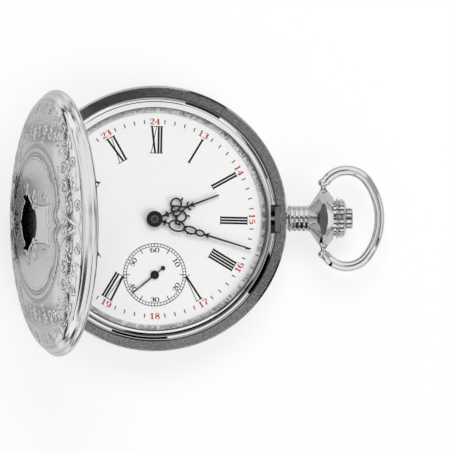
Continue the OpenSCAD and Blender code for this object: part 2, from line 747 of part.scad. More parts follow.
module bow() {
    knob_y0 = collar_side_y + 0.12;
    knob_len = bow_w + bow_corner_r * sin(bow_end_a) + 0.75 - knob_y0;
    knob_r = bow_wire_r + 0.08;
    color("silver") {
        bow_arc([bow_arc_x, 0], bow_arc_r, -bow_arc_a, bow_arc_a);
        for (s = [-1, 1]) {
            bow_ring(s * bow_arc_a);
            bow_arc([bow_side_x, s * bow_w], bow_corner_r, min(s * bow_arc_a, s * bow_end_a),
                max(s * bow_arc_a, s * bow_end_a));
            translate([collar_mid_x, 0, stem_z]) rotate([-90 * s, 0, 0]) {
                translate([0, 0, knob_y0]) rotate_extrude() polygon([[0, 0], [knob_r * 0.62, 0],
                    [knob_r * 0.84, 0.22], [knob_r, 0.6], [knob_r, knob_len - 0.5],
                    [knob_r * 0.84, knob_len - 0.2], [knob_r * 0.5, knob_len], [0, knob_len]]);
                translate([0, 0, collar_side_y - 1]) cylinder(r = bow_pivot_r,
                    h = knob_y0 - collar_side_y + 1.1);
            }
        }
    }
}

module dial() {
    color("white") difference() {
        disc(plate_z1, dial_z1, dial_r, hour_pipe_r + 0.1);
        translate([fourth_c[0], fourth_c[1], plate_z1 - 1]) cylinder(r = 0.4, h = dial_t + 2);
    }
}

// Hands, drawn towards twelve and turned to the time. Each scroll is a line with a width, cut from flat
// sheet.
module hand_line(path) {
    linear_extrude(height = hand_t) polygon(stroke_points(path, scroll_w));
}

module hand_loop(c, rx, ry) {
    w = scroll_w / 2;
    translate(c) linear_extrude(height = hand_t) difference() {
        polygon(arc_points([0, 0], rx + w, ry + w, 0, 350, 35));
        polygon(arc_points([0, 0], rx - w, ry - w, 0, 350, 35));
    }
}

module ball(c, r) {
    translate(c) cylinder(r = r, h = hand_t);
}

// The stem that leaves the hub, with its bead and small curled bar.
module hand_stem(y1, bar_y) {
    translate([-0.14, hub_r - 0.2, 0]) cube([0.28, y1 - hub_r + 0.2, hand_t]);
    ball([0, bar_y - 0.25], 0.26);
    hand_line([[-0.48, bar_y - 0.2], [-0.4, bar_y], [0, bar_y + 0.06], [0.4, bar_y], [0.48,
        bar_y - 0.2]]);
}

// Needle, with an arrow leaf that points back to the hub.
module pointer(y0, y1, barb) {
    linear_extrude(height = hand_t) polygon([[-0.15, y0], [0.15, y0], [0.1, y1], [-0.1, y1]]);
    linear_extrude(height = hand_t) polygon([[0, y0 - 0.15], [barb * 0.55, y0 + 0.6], [barb, y0 + 1.1],
        [barb * 0.35, y0 + 0.85], [0, y0 + 1.15], [-barb * 0.35, y0 + 0.85], [-barb, y0 + 1.1],
            [-barb * 0.55, y0 + 0.6]]);
}

module hour_scroll() {
    hand_loop([0.45, 4.15], 0.43, 0.75);
    hand_line(arc_points([1.22, 4.6], 0.95, 0.95, -112, 160, 22));
    ball([0.96, 3.92], 0.24);
    hand_line([[1.5, 5.4], [1.52, 5.72], [1.64, 5.96], [1.86, 6.05]]);
    hand_line([[0.5, 4.8], [0.36, 5.3], [0.16, 5.8], [0, 6.3]]);
    hand_line([[0, 6.42], [0.45, 6.45], [0.62, 6.6], [0.68, 6.82]]);
}

module hour_hand() {
    color([0.06, 0.06, 0.07]) translate([0, 0, hour_z]) rotate(-hour_at) difference() {
        union() {
            disc(0, hand_t, hub_r);
            hand_stem(4.1, 2.5);
            for (s = [0, 1]) mirror([s, 0, 0]) hour_scroll();
            ball([0, 6.4], 0.2);
            pointer(6.6, hour_len, 0.54);
        }
        disc(-1, 1, hour_pipe_r + seat);
    }
}

module minute_hand() {
    color([0.06, 0.06, 0.07]) translate([0, 0, minute_z]) rotate(-minute_at) difference() {
        union() {
            disc(0, hand_t, hub_r);
            hand_stem(2.85, 2);
            hand_loop([0, 4.18], 0.92, 1.42);
            hand_line([[-0.82, 3.65], [-0.45, 3.78], [-0.3, 4.2], [-0.5, 4.6], [-0.88, 4.5]]);
            ball([-0.42, 3.9], 0.2);
            ball([-0.4, 4.55], 0.2);
            ball([0, 5.66], 0.24);
            hand_line([[-0.5, 5.95], [-0.36, 5.72], [0, 5.66], [0.36, 5.72], [0.5, 5.5]]);
            hand_loop([0, 6.83], 0.6, 1.08);
            ball([0.68, 6.5], 0.2);
            ball([0.66, 7.05], 0.18);
            hand_loop([0, 8.55], 0.48, 0.8);
            ball([0, 7.82], 0.17);
            pointer(9.3, minute_len, 0.56);
        }
        disc(-1, 1, cannon_r + seat);
    }
}

module seconds_hand() {
    color([0.06, 0.06, 0.07]) translate([fourth_c[0], fourth_c[1], 0]) plate(seconds_z,
        seconds_z + hand_t * 0.8)
        rotate(-seconds_at) difference() {
            union() {
                circle(r = 0.76);
                polygon([[-0.12, 0], [0.12, 0], [0.08, seconds_len], [-0.08, seconds_len]]);
                translate([-0.08, -1.7]) square([0.16, 1.7]);
                translate([0, -1.95]) circle(r = 0.38);
            }
            circle(r = 0.2 + seat);
        }
}

module hour_wheel() {
    color("goldenrod") {
        difference() {
            union() {
                plate(hour_wheel_z, hour_wheel_z + motion_t)
                    polygon(gear_points(hour_teeth, motion_m, toward([0, 0], minute_c)));
                disc(hour_wheel_z, hour_z + hand_t, hour_pipe_r);
            }
            disc(hour_wheel_z - 1, hour_z + 1, cannon_r + 0.05);
        }
    }
}

module cannon_pinion() {
    color("lightsteelblue") difference() {
        union() {
            plate(motion_z, motion_z + motion_t + 0.15)
                polygon(gear_points(cannon_teeth, motion_m, toward([0, 0], minute_c)
                    + 180 / cannon_teeth));
            disc(motion_z + motion_t + 0.15, minute_z + hand_t, cannon_r);
        }
        disc(motion_z - 1, minute_z + 1, centre_arbor_r + seat);
    }
}

module minute_wheel() {
    color("goldenrod") translate([minute_c[0], minute_c[1], 0]) difference() {
        union() {
            plate(motion_z, motion_z + motion_t)
                polygon(gear_points(minute_teeth, motion_m, toward(minute_c, [0, 0])));
            plate(motion_z + motion_t, hour_wheel_z + motion_t)
                polygon(gear_points(minute_pinion_teeth, motion_m, toward(minute_c, [0, 0])
                    + 180 / minute_pinion_teeth));
        }
        disc(motion_z - 1, plate_z1 + 1, 0.2 + running);
    }
}

module setting_wheel() {
    color("goldenrod") translate([setting_c[0], setting_c[1], 0]) plate(motion_z,
        motion_z + motion_t)
        crossed2d(setting_teeth, motion_m, mesh_at(toward(minute_c, setting_c), minute_teeth,
            toward(minute_c, [0, 0]), setting_teeth),
            0.5 + running, 1.1, 0.6, 4, 0.5);
}

// Main plate, with recesses for the motion works, the winding work and the centre wheel.
module main_plate() {
    top = plate_z1;
    color("goldenrod") {
        difference() {
            union() {
                disc(plate_z0, top, mov_r);
                disc(ledge_z + seat, top, plate_flange_r);
            }
            disc(motion_z - 0.1, top + 1, 2.85);
            translate([minute_c[0], minute_c[1], 0]) disc(motion_z - 0.1, top + 1, 2.65);
            disc(plate_z0 - 1, centre_wheel_z + wheel_t + 0.1, centre_m * centre_teeth / 2 + 0.4);
            translate([third_c[0], third_c[1], 0]) disc(plate_z0 - 1, centre_wheel_z + wheel_t + 0.1,
                1.2);
            disc(plate_z0 - 1, top + 1, centre_arbor_r + running);
            translate([slot_x0, -2, plate_z0 - 1]) cube([plate_flange_r, 4, plate_t + 2]);
            translate([slot_x0 - 0.7, -6.2, lever_z - 0.05]) cube([mov_r - 0.7 - slot_x0, 6.6, 3]);
            translate([setting_c[0], setting_c[1], 0]) disc(motion_z - 0.1, top + 1, setting_r + 0.1);
            for (c = [third_c, fourth_c, escape_c, pallet_c, balance_c]) translate([c[0], c[1], 0])
                disc(plate_z0 - 1, top + 1, jewel_r + seat);
            translate([barrel_c[0], barrel_c[1], 0]) disc(plate_z0 - 1, top + 1, 1 + running);
            for (p = concat(barrel_pads, train_pads, cock_pads, pallet_pads)) rotate(p[1])
                translate([p[0], 0, 0])
                disc(plate_z0 - 1, top - 0.4, screw_r + seat);
            for (a = case_screw_angles) rotate(a) translate([case_screw_at, 0, 0])
                disc(plate_z0 - 1, plate_z0 + 0.95, screw_r + seat);
        }
        translate([setting_c[0], setting_c[1], 0]) disc(motion_z - 0.2, motion_z + motion_t + 0.05, 0.5);
        translate([minute_c[0], minute_c[1], 0]) disc(motion_z - 0.2, hour_wheel_z + motion_t + 0.1, 0.2);
        translate([crown_wheel_c[0], crown_wheel_c[1], 0]) difference() {
            disc(winding_z0 + 0.02, plate_z0 + 0.05, core_r);
            disc(winding_z0 - 1, plate_z0 - 1, screw_r * 0.7);
        }
        for (p = lever_posts) translate([p[0], p[1], 0]) disc(lever_z - 0.1, plate_z1 - 0.1, post_r);
    }
}

// Setting lever and yoke lie in a recess on the dial side, each on a post of the plate.
lever_z = stem_z + stem_r + 0.12;
lever_t = 0.25;
post_r = 0.3;
lever_post = [lever_pin_x - 0.6, -3.6];
sliding_groove_x = (sliding_x0 + sliding_x1) / 2 - 0.15;
yoke_post = [sliding_groove_x, -5.2];
lever_posts = [lever_post, yoke_post];
module setting_lever() {
    pin = [lever_pin_x, 0];
    len = norm(pin - lever_post);
    color("lightsteelblue") difference() {
        union() {
            plate(lever_z, lever_z + lever_t) translate(lever_post) rotate(toward(lever_post, pin)) {
                circle(r = 0.75);
                translate([0, -0.35]) square([len, 0.7]);
                translate([len, 0]) circle(r = 0.35);
            }
            translate([pin[0], pin[1], 0]) disc(stem_z + stem_r - 0.18, lever_z + eps, 0.2);
        }
        translate([lever_post[0], lever_post[1], 0]) disc(lever_z - 1, lever_z + 1, post_r + running);
    }
}

// Yoke: a bar whose tongue sits in the sliding pinion's groove.
module yoke() {
    z0 = stem_z - 0.1;
    color("lightsteelblue") {
        difference() {
            plate(lever_z, lever_z + lever_t) {
                translate(yoke_post) circle(r = 0.65);
                translate([yoke_post[0] - 0.3, yoke_post[1]]) square([0.6, -yoke_post[1] - 1.25]);
            }
            translate([yoke_post[0], yoke_post[1], 0]) disc(lever_z - 1, lever_z + 1, post_r + running);
        }
        translate([sliding_groove_x - 0.12, -sliding_r - 0.5, z0]) cube([0.24, 0.75,
            lever_z - z0 + 0.05]);
    }
}

module barrel() {
    c = barrel_c;
    teeth_z = barrel_z1 - barrel_teeth_t - 0.1;
    color("goldenrod") translate([c[0], c[1], 0]) difference() {
        union() {
            disc(barrel_z0 + 0.25, barrel_z1, barrel_r);
            plate(teeth_z, teeth_z + barrel_teeth_t)
                polygon(gear_points(barrel_teeth, barrel_m, toward(c, [0, 0])));
        }
        disc(barrel_z0 - 1, barrel_z1 - 0.25, barrel_r - barrel_wall);
        disc(barrel_z0 - 1, barrel_z1 + 1, 1 + running);
    }
}

module barrel_cover() {
    color("goldenrod") translate([barrel_c[0], barrel_c[1], 0]) disc(barrel_z0,
        barrel_z0 + 0.24, barrel_r, 1 + running);
}

module mainspring() {
    w = 0.2;
    color("lightsteelblue") translate([barrel_c[0], barrel_c[1], 0])
        plate(barrel_z0 + 0.3, barrel_z1 - 0.3) difference() {
            polygon(spiral_points(1.75, barrel_r - barrel_wall - w / 2 - 0.05, mainspring_turns, w, 24));
        }
}

module barrel_arbor() {
    sq = 1.1;
    color("lightsteelblue") translate([barrel_c[0], barrel_c[1], 0]) {
        disc(bridge_z0 + 0.02, plate_z1 - 0.3, 1);
        disc(barrel_z0 + 0.3, barrel_z1 - 0.3, 1.55);
        translate([-sq / 2, -sq / 2, winding_z0]) cube([sq, sq, bridge_z0 + 0.1 - winding_z0]);
    }
}

// One arbor with its two pivots, in its own centre.
module arbor(z0, z1, r) {
    disc(z0, z1, r);
    disc(z0 - jewel_t - 0.1, z1 + jewel_t + 0.1, pivot_r);
}

module centre_wheel() {
    color("goldenrod") {
        plate(centre_wheel_z, centre_wheel_z + wheel_t)
            crossed2d(centre_teeth, centre_m, toward([0, 0], third_c), centre_arbor_r - eps, 1.5, 0.5,
                5, 0.55);
        plate(barrel_z1 - barrel_teeth_t - 0.2, barrel_z1 + 0.05)
            polygon(gear_points(pinion_teeth, barrel_m, toward([0, 0], barrel_c) + 180 / pinion_teeth));
        disc(bridge_z0 + 0.2, minute_z + hand_t + 0.05, centre_arbor_r);
    }
}

module third_wheel() {
    color("goldenrod") translate([third_c[0], third_c[1], 0]) {
        plate(third_wheel_z, third_wheel_z + wheel_t)
            crossed2d(third_teeth, third_m, toward(third_c, fourth_c), arbor_r - eps, 0.9, 0.42, 5, 0.42);
        plate(plate_z0 - 0.1, centre_wheel_z + wheel_t + 0.03)
            polygon(gear_points(pinion_teeth, centre_m, toward(third_c, [0, 0]) + 180 / pinion_teeth));
        arbor(bridge_z1 + 0.05, plate_z0 + 0.35, arbor_r);
    }
}

module fourth_wheel() {
    color("goldenrod") translate([fourth_c[0], fourth_c[1], 0]) {
        plate(fourth_wheel_z, fourth_wheel_z + wheel_t)
            crossed2d(fourth_teeth, fourth_m, toward(fourth_c, escape_c), arbor_r - eps, 0.8, 0.38, 5,
                0.38);
        plate(third_wheel_z - 0.15, third_wheel_z + wheel_t + 0.15)
            polygon(gear_points(pinion_teeth, third_m, toward(fourth_c, third_c) + 180 / pinion_teeth));
        arbor(bridge_z1 + 0.05, plate_z0 - 0.02, arbor_r);
        disc(plate_z0 - 0.05, plate_z0 + 0.4, pivot_r + 0.02);
        disc(plate_z0 + 0.35, seconds_z + hand_t, 0.2);
    }
}

// Escape wheel: fifteen club-shaped teeth on a light rim.
module escape_wheel() {
    pitch = 360 / escape_teeth;
    color("lightsteelblue") translate([escape_c[0], escape_c[1], 0]) {
        plate(escape_z, escape_z + wheel_t) rotate(pallet_ang + pitch / 2) difference() {
            union() {
                circle(r = escape_r - 0.75);
                for (i = [0:escape_teeth - 1]) rotate(i * pitch) polygon([
                    polar(escape_r - 0.85, -7), polar(escape_r - 0.35, -3.5), polar(escape_r - 0.12,
                        -2), polar(escape_r, 2.6),
                    polar(escape_r - 0.22, 3.4), polar(escape_r - 0.85, 1.5)]);
            }
            difference() {
                circle(r = escape_r - 1.05);
                circle(r = 0.6);
                for (i = [0:3]) rotate(90 * i) translate([0, -0.16]) square([escape_r, 0.32]);
            }
            circle(r = 0.15);
        }
        plate(fourth_wheel_z - 0.15, fourth_wheel_z + wheel_t + 0.1)
            polygon(gear_points(escape_pinion_teeth, fourth_m, toward(escape_c, fourth_c)
                + 180 / escape_pinion_teeth));
        arbor(bridge_z1 + 0.05, plate_z0 - 0.02, 0.2);
    }
}

// Pallet fork: two arms for the stones, a lever with its notch, and a staff. It points to the balance.
fork_len = norm(balance_c - pallet_c) - 0.85;
stone_ang = 30;
stone_w = 0.2;
stone_gap = 0.04;
stone_mid_r = escape_r + 0.27;
stone_mid = [stone_mid_r * cos(stone_ang) - norm(pallet_c - escape_c), stone_mid_r * sin(stone_ang)];
module at_stones(grow) {
    for (s = [-1, 1]) translate([stone_mid[0], s * stone_mid[1]]) rotate(s * stone_ang)
        translate([escape_r + stone_gap - stone_mid_r - grow, -stone_w / 2 - grow])
            square([2 * (stone_mid_r - escape_r - stone_gap) + 2 * grow, stone_w + 2 * grow]);
}

module pallet_fork() {
    arm_ang = atan2(stone_mid[1], stone_mid[0]);
    color("lightsteelblue") translate([pallet_c[0], pallet_c[1], 0]) {
        plate(escape_z, escape_z + wheel_t) rotate(pallet_ang) difference() {
            union() {
                circle(r = 0.42);
                for (s = [-1, 1]) rotate(s * arm_ang) translate([0, -0.16]) square([norm(stone_mid),
                    0.32]);
                for (s = [-1, 1]) translate([stone_mid[0], s * stone_mid[1]]) circle(r = 0.27);
                translate([0, -0.13]) square([fork_len - 0.35, 0.26]);
                translate([fork_len - 0.6, -0.36]) square([0.7, 0.72]);
            }
            translate([fork_len - 0.3, -0.14]) square([1, 0.28]);
            translate([-norm(pallet_c - escape_c), 0]) circle(r = escape_r + 0.15);
            at_stones(seat);
        }
        arbor(bridge_z1 + 0.4, plate_z0 - 0.02, 0.18);
    }
}

module pallet_stones() {
    color("crimson") translate([pallet_c[0], pallet_c[1], 0])
        plate(escape_z - 0.04, escape_z + wheel_t + 0.04) rotate(pallet_ang) at_stones(0);
}

module balance() {
    color("goldenrod") translate([balance_c[0], balance_c[1], 0]) {
        plate(balance_z0, balance_z0 + balance_t) difference() {
            circle(r = balance_r);
            difference() {
                circle(r = balance_r - 0.4);
                rotate(pallet_ang + 90) translate([-balance_r, -0.32]) square([2 * balance_r, 0.64]);
                circle(r = 0.7);
            }
            circle(r = 0.35 + seat);
        }
        for (i = [0:13]) rotate(pallet_ang + 90 + 360 * (i + 0.5) / 14) translate([0, 0,
            balance_z0 + balance_t / 2])
            rotate([0, 90, 0]) translate([0, 0, balance_r - 0.15]) cylinder(r = balance_screw_r,
                h = 0.45);
    }
}

// Balance staff with its roller and impulse pin.
module balance_staff() {
    pin_at = norm(balance_c - pallet_c) - fork_len + 0.12;
    color("lightsteelblue") translate([balance_c[0], balance_c[1], 0]) {
        disc(hairspring_z - 0.05, plate_z0 - 0.05, 0.35);
        disc(cock_z0 + cock_t - 0.2, plate_z0 + 0.3, pivot_r);
        disc(balance_z0 + balance_t + 0.12, balance_z0 + balance_t + 0.3, 1.05);
        rotate(pallet_ang + 180) translate([pin_at, 0, 0])
            disc(balance_z0 + balance_t + 0.2, escape_z + wheel_t, 0.09);
    }
}

module hairspring() {
    color("steelblue") translate([balance_c[0], balance_c[1], 0]) {
        plate(hairspring_z, hairspring_z + hairspring_h) rotate(stud_ang)
            polygon(spiral_points(0.72, hairspring_r, hairspring_turns, 0.06, 20));
        disc(hairspring_z - 0.03, hairspring_z + hairspring_h + 0.03, 0.7, 0.35 + seat);
    }
}

// Outline of a bridge: part of the movement's disc, cut by straight edges.
bridge_r = mov_r - 0.4;
module bridge2d(points) {
    intersection() {
        circle(r = bridge_r);
        polygon(points);
    }
}

// Each pad stands between bridge and plate, with a clear hole for its screw.
module pads(list, z0) {
    for (p = list) rotate(p[1]) translate([p[0], 0, 0]) disc(z0, plate_z0, pad_r);
}

module pad_holes(list) {
    for (p = list) rotate(p[1]) translate([p[0], 0, 0]) {
        disc(bridge_z0 - 3, plate_z0 + 1, screw_r + seat);
        disc(bridge_z0 - 3, bridge_z0 + screw_head_t, screw_head_r + 0.05);
    }
}

module jewel_hole(c, z0, z1) {
    translate([c[0], c[1], 0]) disc(z0 - eps, z1 + 1, jewel_r + seat);
}

module barrel_bridge() {
    far = 2 * mov_r;
    color("gainsboro") difference() {
        union() {
            plate(bridge_z0, bridge_z1) union() {
                bridge2d([polar(far, -24), [2.6, -2.9], [-2.9, -2.6], [-3.2, 1.5], polar(far, 128),
                    polar(far, 80), polar(far, 30)]);
                circle(r = 2.4);
            }
            pads(barrel_pads, bridge_z1 - 0.1);
        }
        pad_holes(barrel_pads);
        translate([barrel_c[0], barrel_c[1], 0]) disc(bridge_z0 - 1, bridge_z1 + 1, 1 + running);
        translate([crown_wheel_c[0], crown_wheel_c[1], 0]) disc(bridge_z0 - 1, bridge_z1 + 1,
            face_r1 + 0.1);
        jewel_hole([0, 0], bridge_z0 - 1, bridge_z1);
        translate([click_c[0], click_c[1], 0]) disc(bridge_z0 - 1, bridge_z1 + 1, screw_r + seat);
    }
}

module train_bridge() {
    far = 2 * mov_r;
    color("gainsboro") difference() {
        union() {
            plate(bridge_z0, bridge_z1) difference() {
                bridge2d([polar(far, -27.5), [4.2, -4.1], [1.2, -3.9], [-2.6, -7.2], [-5.6, -10.2],
                    polar(far, -113), polar(far, -90),
                    polar(far, -50)]);
                translate(balance_c) circle(r = balance_r + 0.65);
            }
            pads(train_pads, bridge_z1 - 0.1);
        }
        pad_holes(train_pads);
        for (c = [third_c, fourth_c, escape_c]) jewel_hole(c, bridge_z0 - 1, bridge_z1);
    }
}

pallet_bridge_z1 = bridge_z1 + 0.38;
pallet_bridge_z0 = pallet_bridge_z1 - 0.3;
module pallet_bridge() {
    foot = polar(pallet_pads[0][0], pallet_pads[0][1]);
    span = norm(foot - pallet_c);
    color("gainsboro") difference() {
        union() {
            plate(pallet_bridge_z0, pallet_bridge_z1) translate(pallet_c) rotate(toward(pallet_c, foot)) {
                circle(r = 0.85);
                translate([0, -0.6]) square([span, 1.2]);
                translate([span, 0]) circle(r = 1.1);
            }
            translate([foot[0], foot[1], 0]) disc(pallet_bridge_z1 - 0.1, plate_z0, 0.95);
        }
        translate([foot[0], foot[1], 0]) {
            disc(bridge_z0 - 1, plate_z0 + 1, screw_r + seat);
        }
        translate([pallet_c[0], pallet_c[1], 0]) disc(pallet_bridge_z0 - 1, pallet_bridge_z1 + 1,
            0.3 + seat);
    }
}

module balance_cock() {
    foot = polar(cock_pads[0][0], cock_pads[0][1]);
    span = norm(foot - balance_c);
    color("gainsboro") difference() {
        union() {
            translate(concat(balance_c + polar(hairspring_r + 0.24, stud_ang), 0))
                disc(cock_z0 + 0.1, hairspring_z + hairspring_h, 0.2);
            plate(cock_z0, cock_z0 + cock_t) union() {
                translate(balance_c) circle(r = 2);
                translate(balance_c) rotate(toward(balance_c, foot)) polygon([[0, -1.6], [span, -2.2],
                    [span, 2], [0, 1.6]]);
                intersection() {
                    circle(r = bridge_r);
                    translate(foot) circle(r = 2.6);
                }
            }
            intersection() {
                translate([foot[0], foot[1], 0]) disc(cock_z0 + cock_t - 0.1, plate_z0, 2.2);
                disc(0, 2 * band_z1, bridge_r);
            }
        }
        rotate(cock_pads[0][1]) translate([cock_pads[0][0], 0, 0]) {
            disc(cock_z0 - 1, plate_z0 + 1, screw_r + seat);
            disc(cock_z0 - 1, cock_z0 + screw_head_t, screw_head_r + 0.05);
        }
        translate([balance_c[0], balance_c[1], 0]) disc(cock_z0 - 1, cock_z0 + cock_t + 1,
            jewel_r + seat);
    }
}

// Regulator: a ring round the cock's jewel with a long pointer.
module regulator() {
    t = 0.15;
    color("lightsteelblue") translate([balance_c[0], balance_c[1], 0])
        plate(cock_z0 - t - 0.02, cock_z0 - 0.02) difference() {
        union() {
            circle(r = 1.15);
            rotate(toward(balance_c, polar(16, 205)) + 62) polygon([[0, -0.3], [3.1, -0.12], [3.3, 0],
                [3.1, 0.12], [0, 0.3]]);
        }
        circle(r = jewel_r + 0.1);
    }
}

module ratchet_wheel() {
    sq = 1.1 + 2 * seat;
    color("lightsteelblue") translate([barrel_c[0], barrel_c[1], 0]) plate(winding_z0,
        winding_z1) difference() {
        polygon(gear_points(ratchet_teeth, winding_m, toward(barrel_c, crown_wheel_c)));
        translate([-sq / 2, -sq / 2]) square([sq, sq]);
    }
}

module screw_top(c, z, r, shank_r, depth) {
    translate([c[0], c[1], 0]) difference() {
        union() {
            disc(z - screw_head_t, z, r);
            if (depth > 0) disc(z - eps, z + depth, shank_r);
        }
        translate([-r - 1, -0.1, z - screw_head_t - 1]) cube([2 * r + 2, 0.2, 1.15]);
    }
}

module ratchet_screw() {
    color("steelblue") screw_top(barrel_c, winding_z0 - 0.01, 1.3, 0.4, 0);
}

// Crown wheel: spur teeth for the ratchet wheel, and face teeth for the winding pinion.
module crown_wheel() {
    tooth_w = 360 / face_teeth;
    mean_r = (face_r0 + face_r1) / 2;
    half_pitch = PI * mean_r / face_teeth;
    color("lightsteelblue") translate([crown_wheel_c[0], crown_wheel_c[1], 0]) {
        plate(winding_z0, winding_z1) gear2d(crown_wheel_teeth, winding_m,
            toward(crown_wheel_c, barrel_c) + 180 / crown_wheel_teeth, core_r + running);
        disc(winding_z1 - eps, face_root_z, face_r1, face_r0);
        intersection() {
            disc(face_root_z - 1, face_tip_z + 1, face_r1 - eps, face_r0 + eps);
            for (i = [0:face_teeth - 1]) rotate((i + 0.5) * tooth_w) rotate([90, 0, 90])
                linear_extrude(height = face_r1 + 0.5) polygon([
                    [-half_pitch * 0.62, face_root_z - 0.1], [half_pitch * 0.62, face_root_z - 0.1],
                    [half_pitch * 0.22, face_tip_z], [-half_pitch * 0.22, face_tip_z]]);
        }
    }
}

module crown_wheel_screw() {
    color("steelblue") screw_top(crown_wheel_c, winding_z0 - 0.01, 1.5, 0.2, 0.9);
}

// Click and its spring on the barrel bridge, beside the ratchet wheel.
ratchet_tip_r = winding_m * ratchet_teeth / 2 + winding_m;
click_c = barrel_c + polar(ratchet_tip_r + 1.25, 205);
module click() {
    nose = ratchet_tip_r + 0.05;
    to_ratchet = toward(click_c, barrel_c);
    color("lightsteelblue") translate([click_c[0], click_c[1], 0]) difference() {
        plate(winding_z0, winding_z1) difference() {
            union() {
                circle(r = 0.9);
                rotate(to_ratchet + 40) polygon([[0, -0.7], [1.9, 0.1], [2, 0.45], [0, 0.8]]);
            }
            translate(barrel_c - click_c) circle(r = nose);
        }
        disc(winding_z0 - 1, winding_z1 + 1, 0.35 + running);
    }
}

module click_screw() {
    color("steelblue") screw_top(click_c, winding_z0 - 0.01, 0.7, 0.35, winding_t + 0.9);
}

module click_spring() {
    at = toward(click_c, barrel_c);
    color("steelblue") translate([click_c[0], click_c[1], 0]) plate(winding_z0 + 0.05,
        winding_z1 - 0.02) rotate(at) {
        difference() {
            translate([0.2, 4.2]) circle(r = 3.1);
            translate([0.2, 4.2]) circle(r = 2.9);
            translate([-0.1, 0]) square([10, 10]);
        }
        translate([0.1, 7.2]) circle(r = 0.6);
    }
}

module winding_pinion() {
    color("lightsteelblue") translate([0, 0, stem_z]) rotate([0, 90, 0]) difference() {
        union() {
            plate(winding_x0, winding_x1 - 0.25) polygon(gear_points(winding_teeth, winding_pinion_m, 0));
            disc(winding_x1 - 0.3, winding_x1, winding_pitch_r - 0.35);
        }
        disc(winding_x0 - 1, winding_x1 + 1, stem_r + running);
        for (i = [0:5]) rotate(60 * i) translate([0.75, -0.14, winding_x0 - 1]) cube([2, 0.28, 1.15]);
    }
}

module sliding_pinion() {
    sq = square_w + 2 * running;
    g = sliding_groove_x;
    color("lightsteelblue") translate([0, 0, stem_z]) rotate([0, 90, 0]) difference() {
        union() {
            rotate_extrude() polygon([[0, sliding_x0], [sliding_r, sliding_x0], [sliding_r, g - 0.2],
                [0.9, g - 0.2],
                [0.9, g + 0.2], [sliding_r, g + 0.2], [sliding_r, sliding_x1], [0, sliding_x1]]);
            for (i = [0:5]) rotate(60 * i) translate([0.8, -0.11, sliding_x1 - 0.1]) cube([0.4, 0.22,
                0.22]);
        }
        translate([-sq / 2, -sq / 2, sliding_x0 - 1]) cube([sq, sq, 4]);
    }
}

// Jewels: one ring at each bearing of the train and the balance.
module jewel(c, z0) {
    translate([c[0], c[1], 0]) disc(z0, z0 + jewel_t, jewel_r, pivot_r + running);
}

module jewels() {
    color("crimson") {
        for (c = [third_c, fourth_c, escape_c]) jewel(c, bridge_z1 - jewel_t);
        for (c = [escape_c, pallet_c, balance_c]) jewel(c, plate_z0);
        translate([third_c[0], third_c[1], 0])
            disc(plate_z0 + 0.4, plate_z0 + 0.4 + jewel_t, jewel_r, pivot_r + running);
        translate([fourth_c[0], fourth_c[1], 0]) disc(plate_z0, plate_z0 + jewel_t, jewel_r,
            pivot_r + 0.02 + running);
        jewel(balance_c, cock_z0 + cock_t - jewel_t);
        translate([0, 0, 0]) disc(bridge_z0 + 0.15, bridge_z1 - 0.1, jewel_r, centre_arbor_r + running);
        translate([pallet_c[0], pallet_c[1], 0]) disc(pallet_bridge_z0, pallet_bridge_z1, 0.3,
            pivot_r + running);
    }
}

module pad_screw(p, z0, z1) {
    rotate(p[1]) translate([p[0], 0, 0]) difference() {
        union() {
            disc(z0, z0 + screw_head_t, screw_head_r);
            disc(z0 + screw_head_t - eps, z1, screw_r);
        }
        translate([-2, -0.1, z0 - 1]) cube([4, 0.2, 1.15]);
    }
}

module bridge_screws() {
    color("steelblue") {
        for (p = concat(barrel_pads, train_pads)) pad_screw(p, bridge_z0 - 0.01, plate_z0 + 0.8);
        pad_screw(cock_pads[0], cock_z0 - 0.01, plate_z0 + 0.8);
        pad_screw(pallet_pads[0], pallet_bridge_z0 - screw_head_t - 0.01, plate_z0 + 0.8);
    }
}

// Two dog screws at the movement's edge, whose heads hold it against the ledge.
module case_screws() {
    color("steelblue") for (a = case_screw_angles) rotate(a) translate([case_screw_at, 0, 0])
        difference() {
        union() {
            disc(plate_z0 - 0.4, plate_z0 - 0.01, 0.9);
            disc(plate_z0 - 0.05, plate_z0 + 0.9, screw_r);
        }
        translate([-2, -0.1, plate_z0 - 1.4]) cube([4, 0.2, 1.15]);
    }
}

mid_case();
front_cover();
back_cover();
cuvette();
bezel();
crystal();
front_hinge_pin();
back_hinge_pin();
lift_spring();
lock_spring();
case_spring_screws();
pendant();
push_sleeve();
crown_gasket();
crown();
crown_cap();
winding_stem();
bow();
dial();
case_screws();
hour_hand();
minute_hand();
seconds_hand();
hour_wheel();
cannon_pinion();
minute_wheel();
setting_wheel();
main_plate();
barrel();
barrel_cover();
mainspring();
barrel_arbor();
centre_wheel();
third_wheel();
fourth_wheel();
escape_wheel();
pallet_fork();
pallet_stones();
balance();
balance_staff();
hairspring();
barrel_bridge();
train_bridge();
pallet_bridge();
balance_cock();
regulator();
ratchet_wheel();
ratchet_screw();
crown_wheel();
crown_wheel_screw();
click();
click_screw();
click_spring();
winding_pinion();
sliding_pinion();
setting_lever();
yoke();
jewels();
bridge_screws();
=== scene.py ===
import json
import math
from contextlib import contextmanager

import bpy
import numpy as np
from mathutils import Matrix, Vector, kdtree

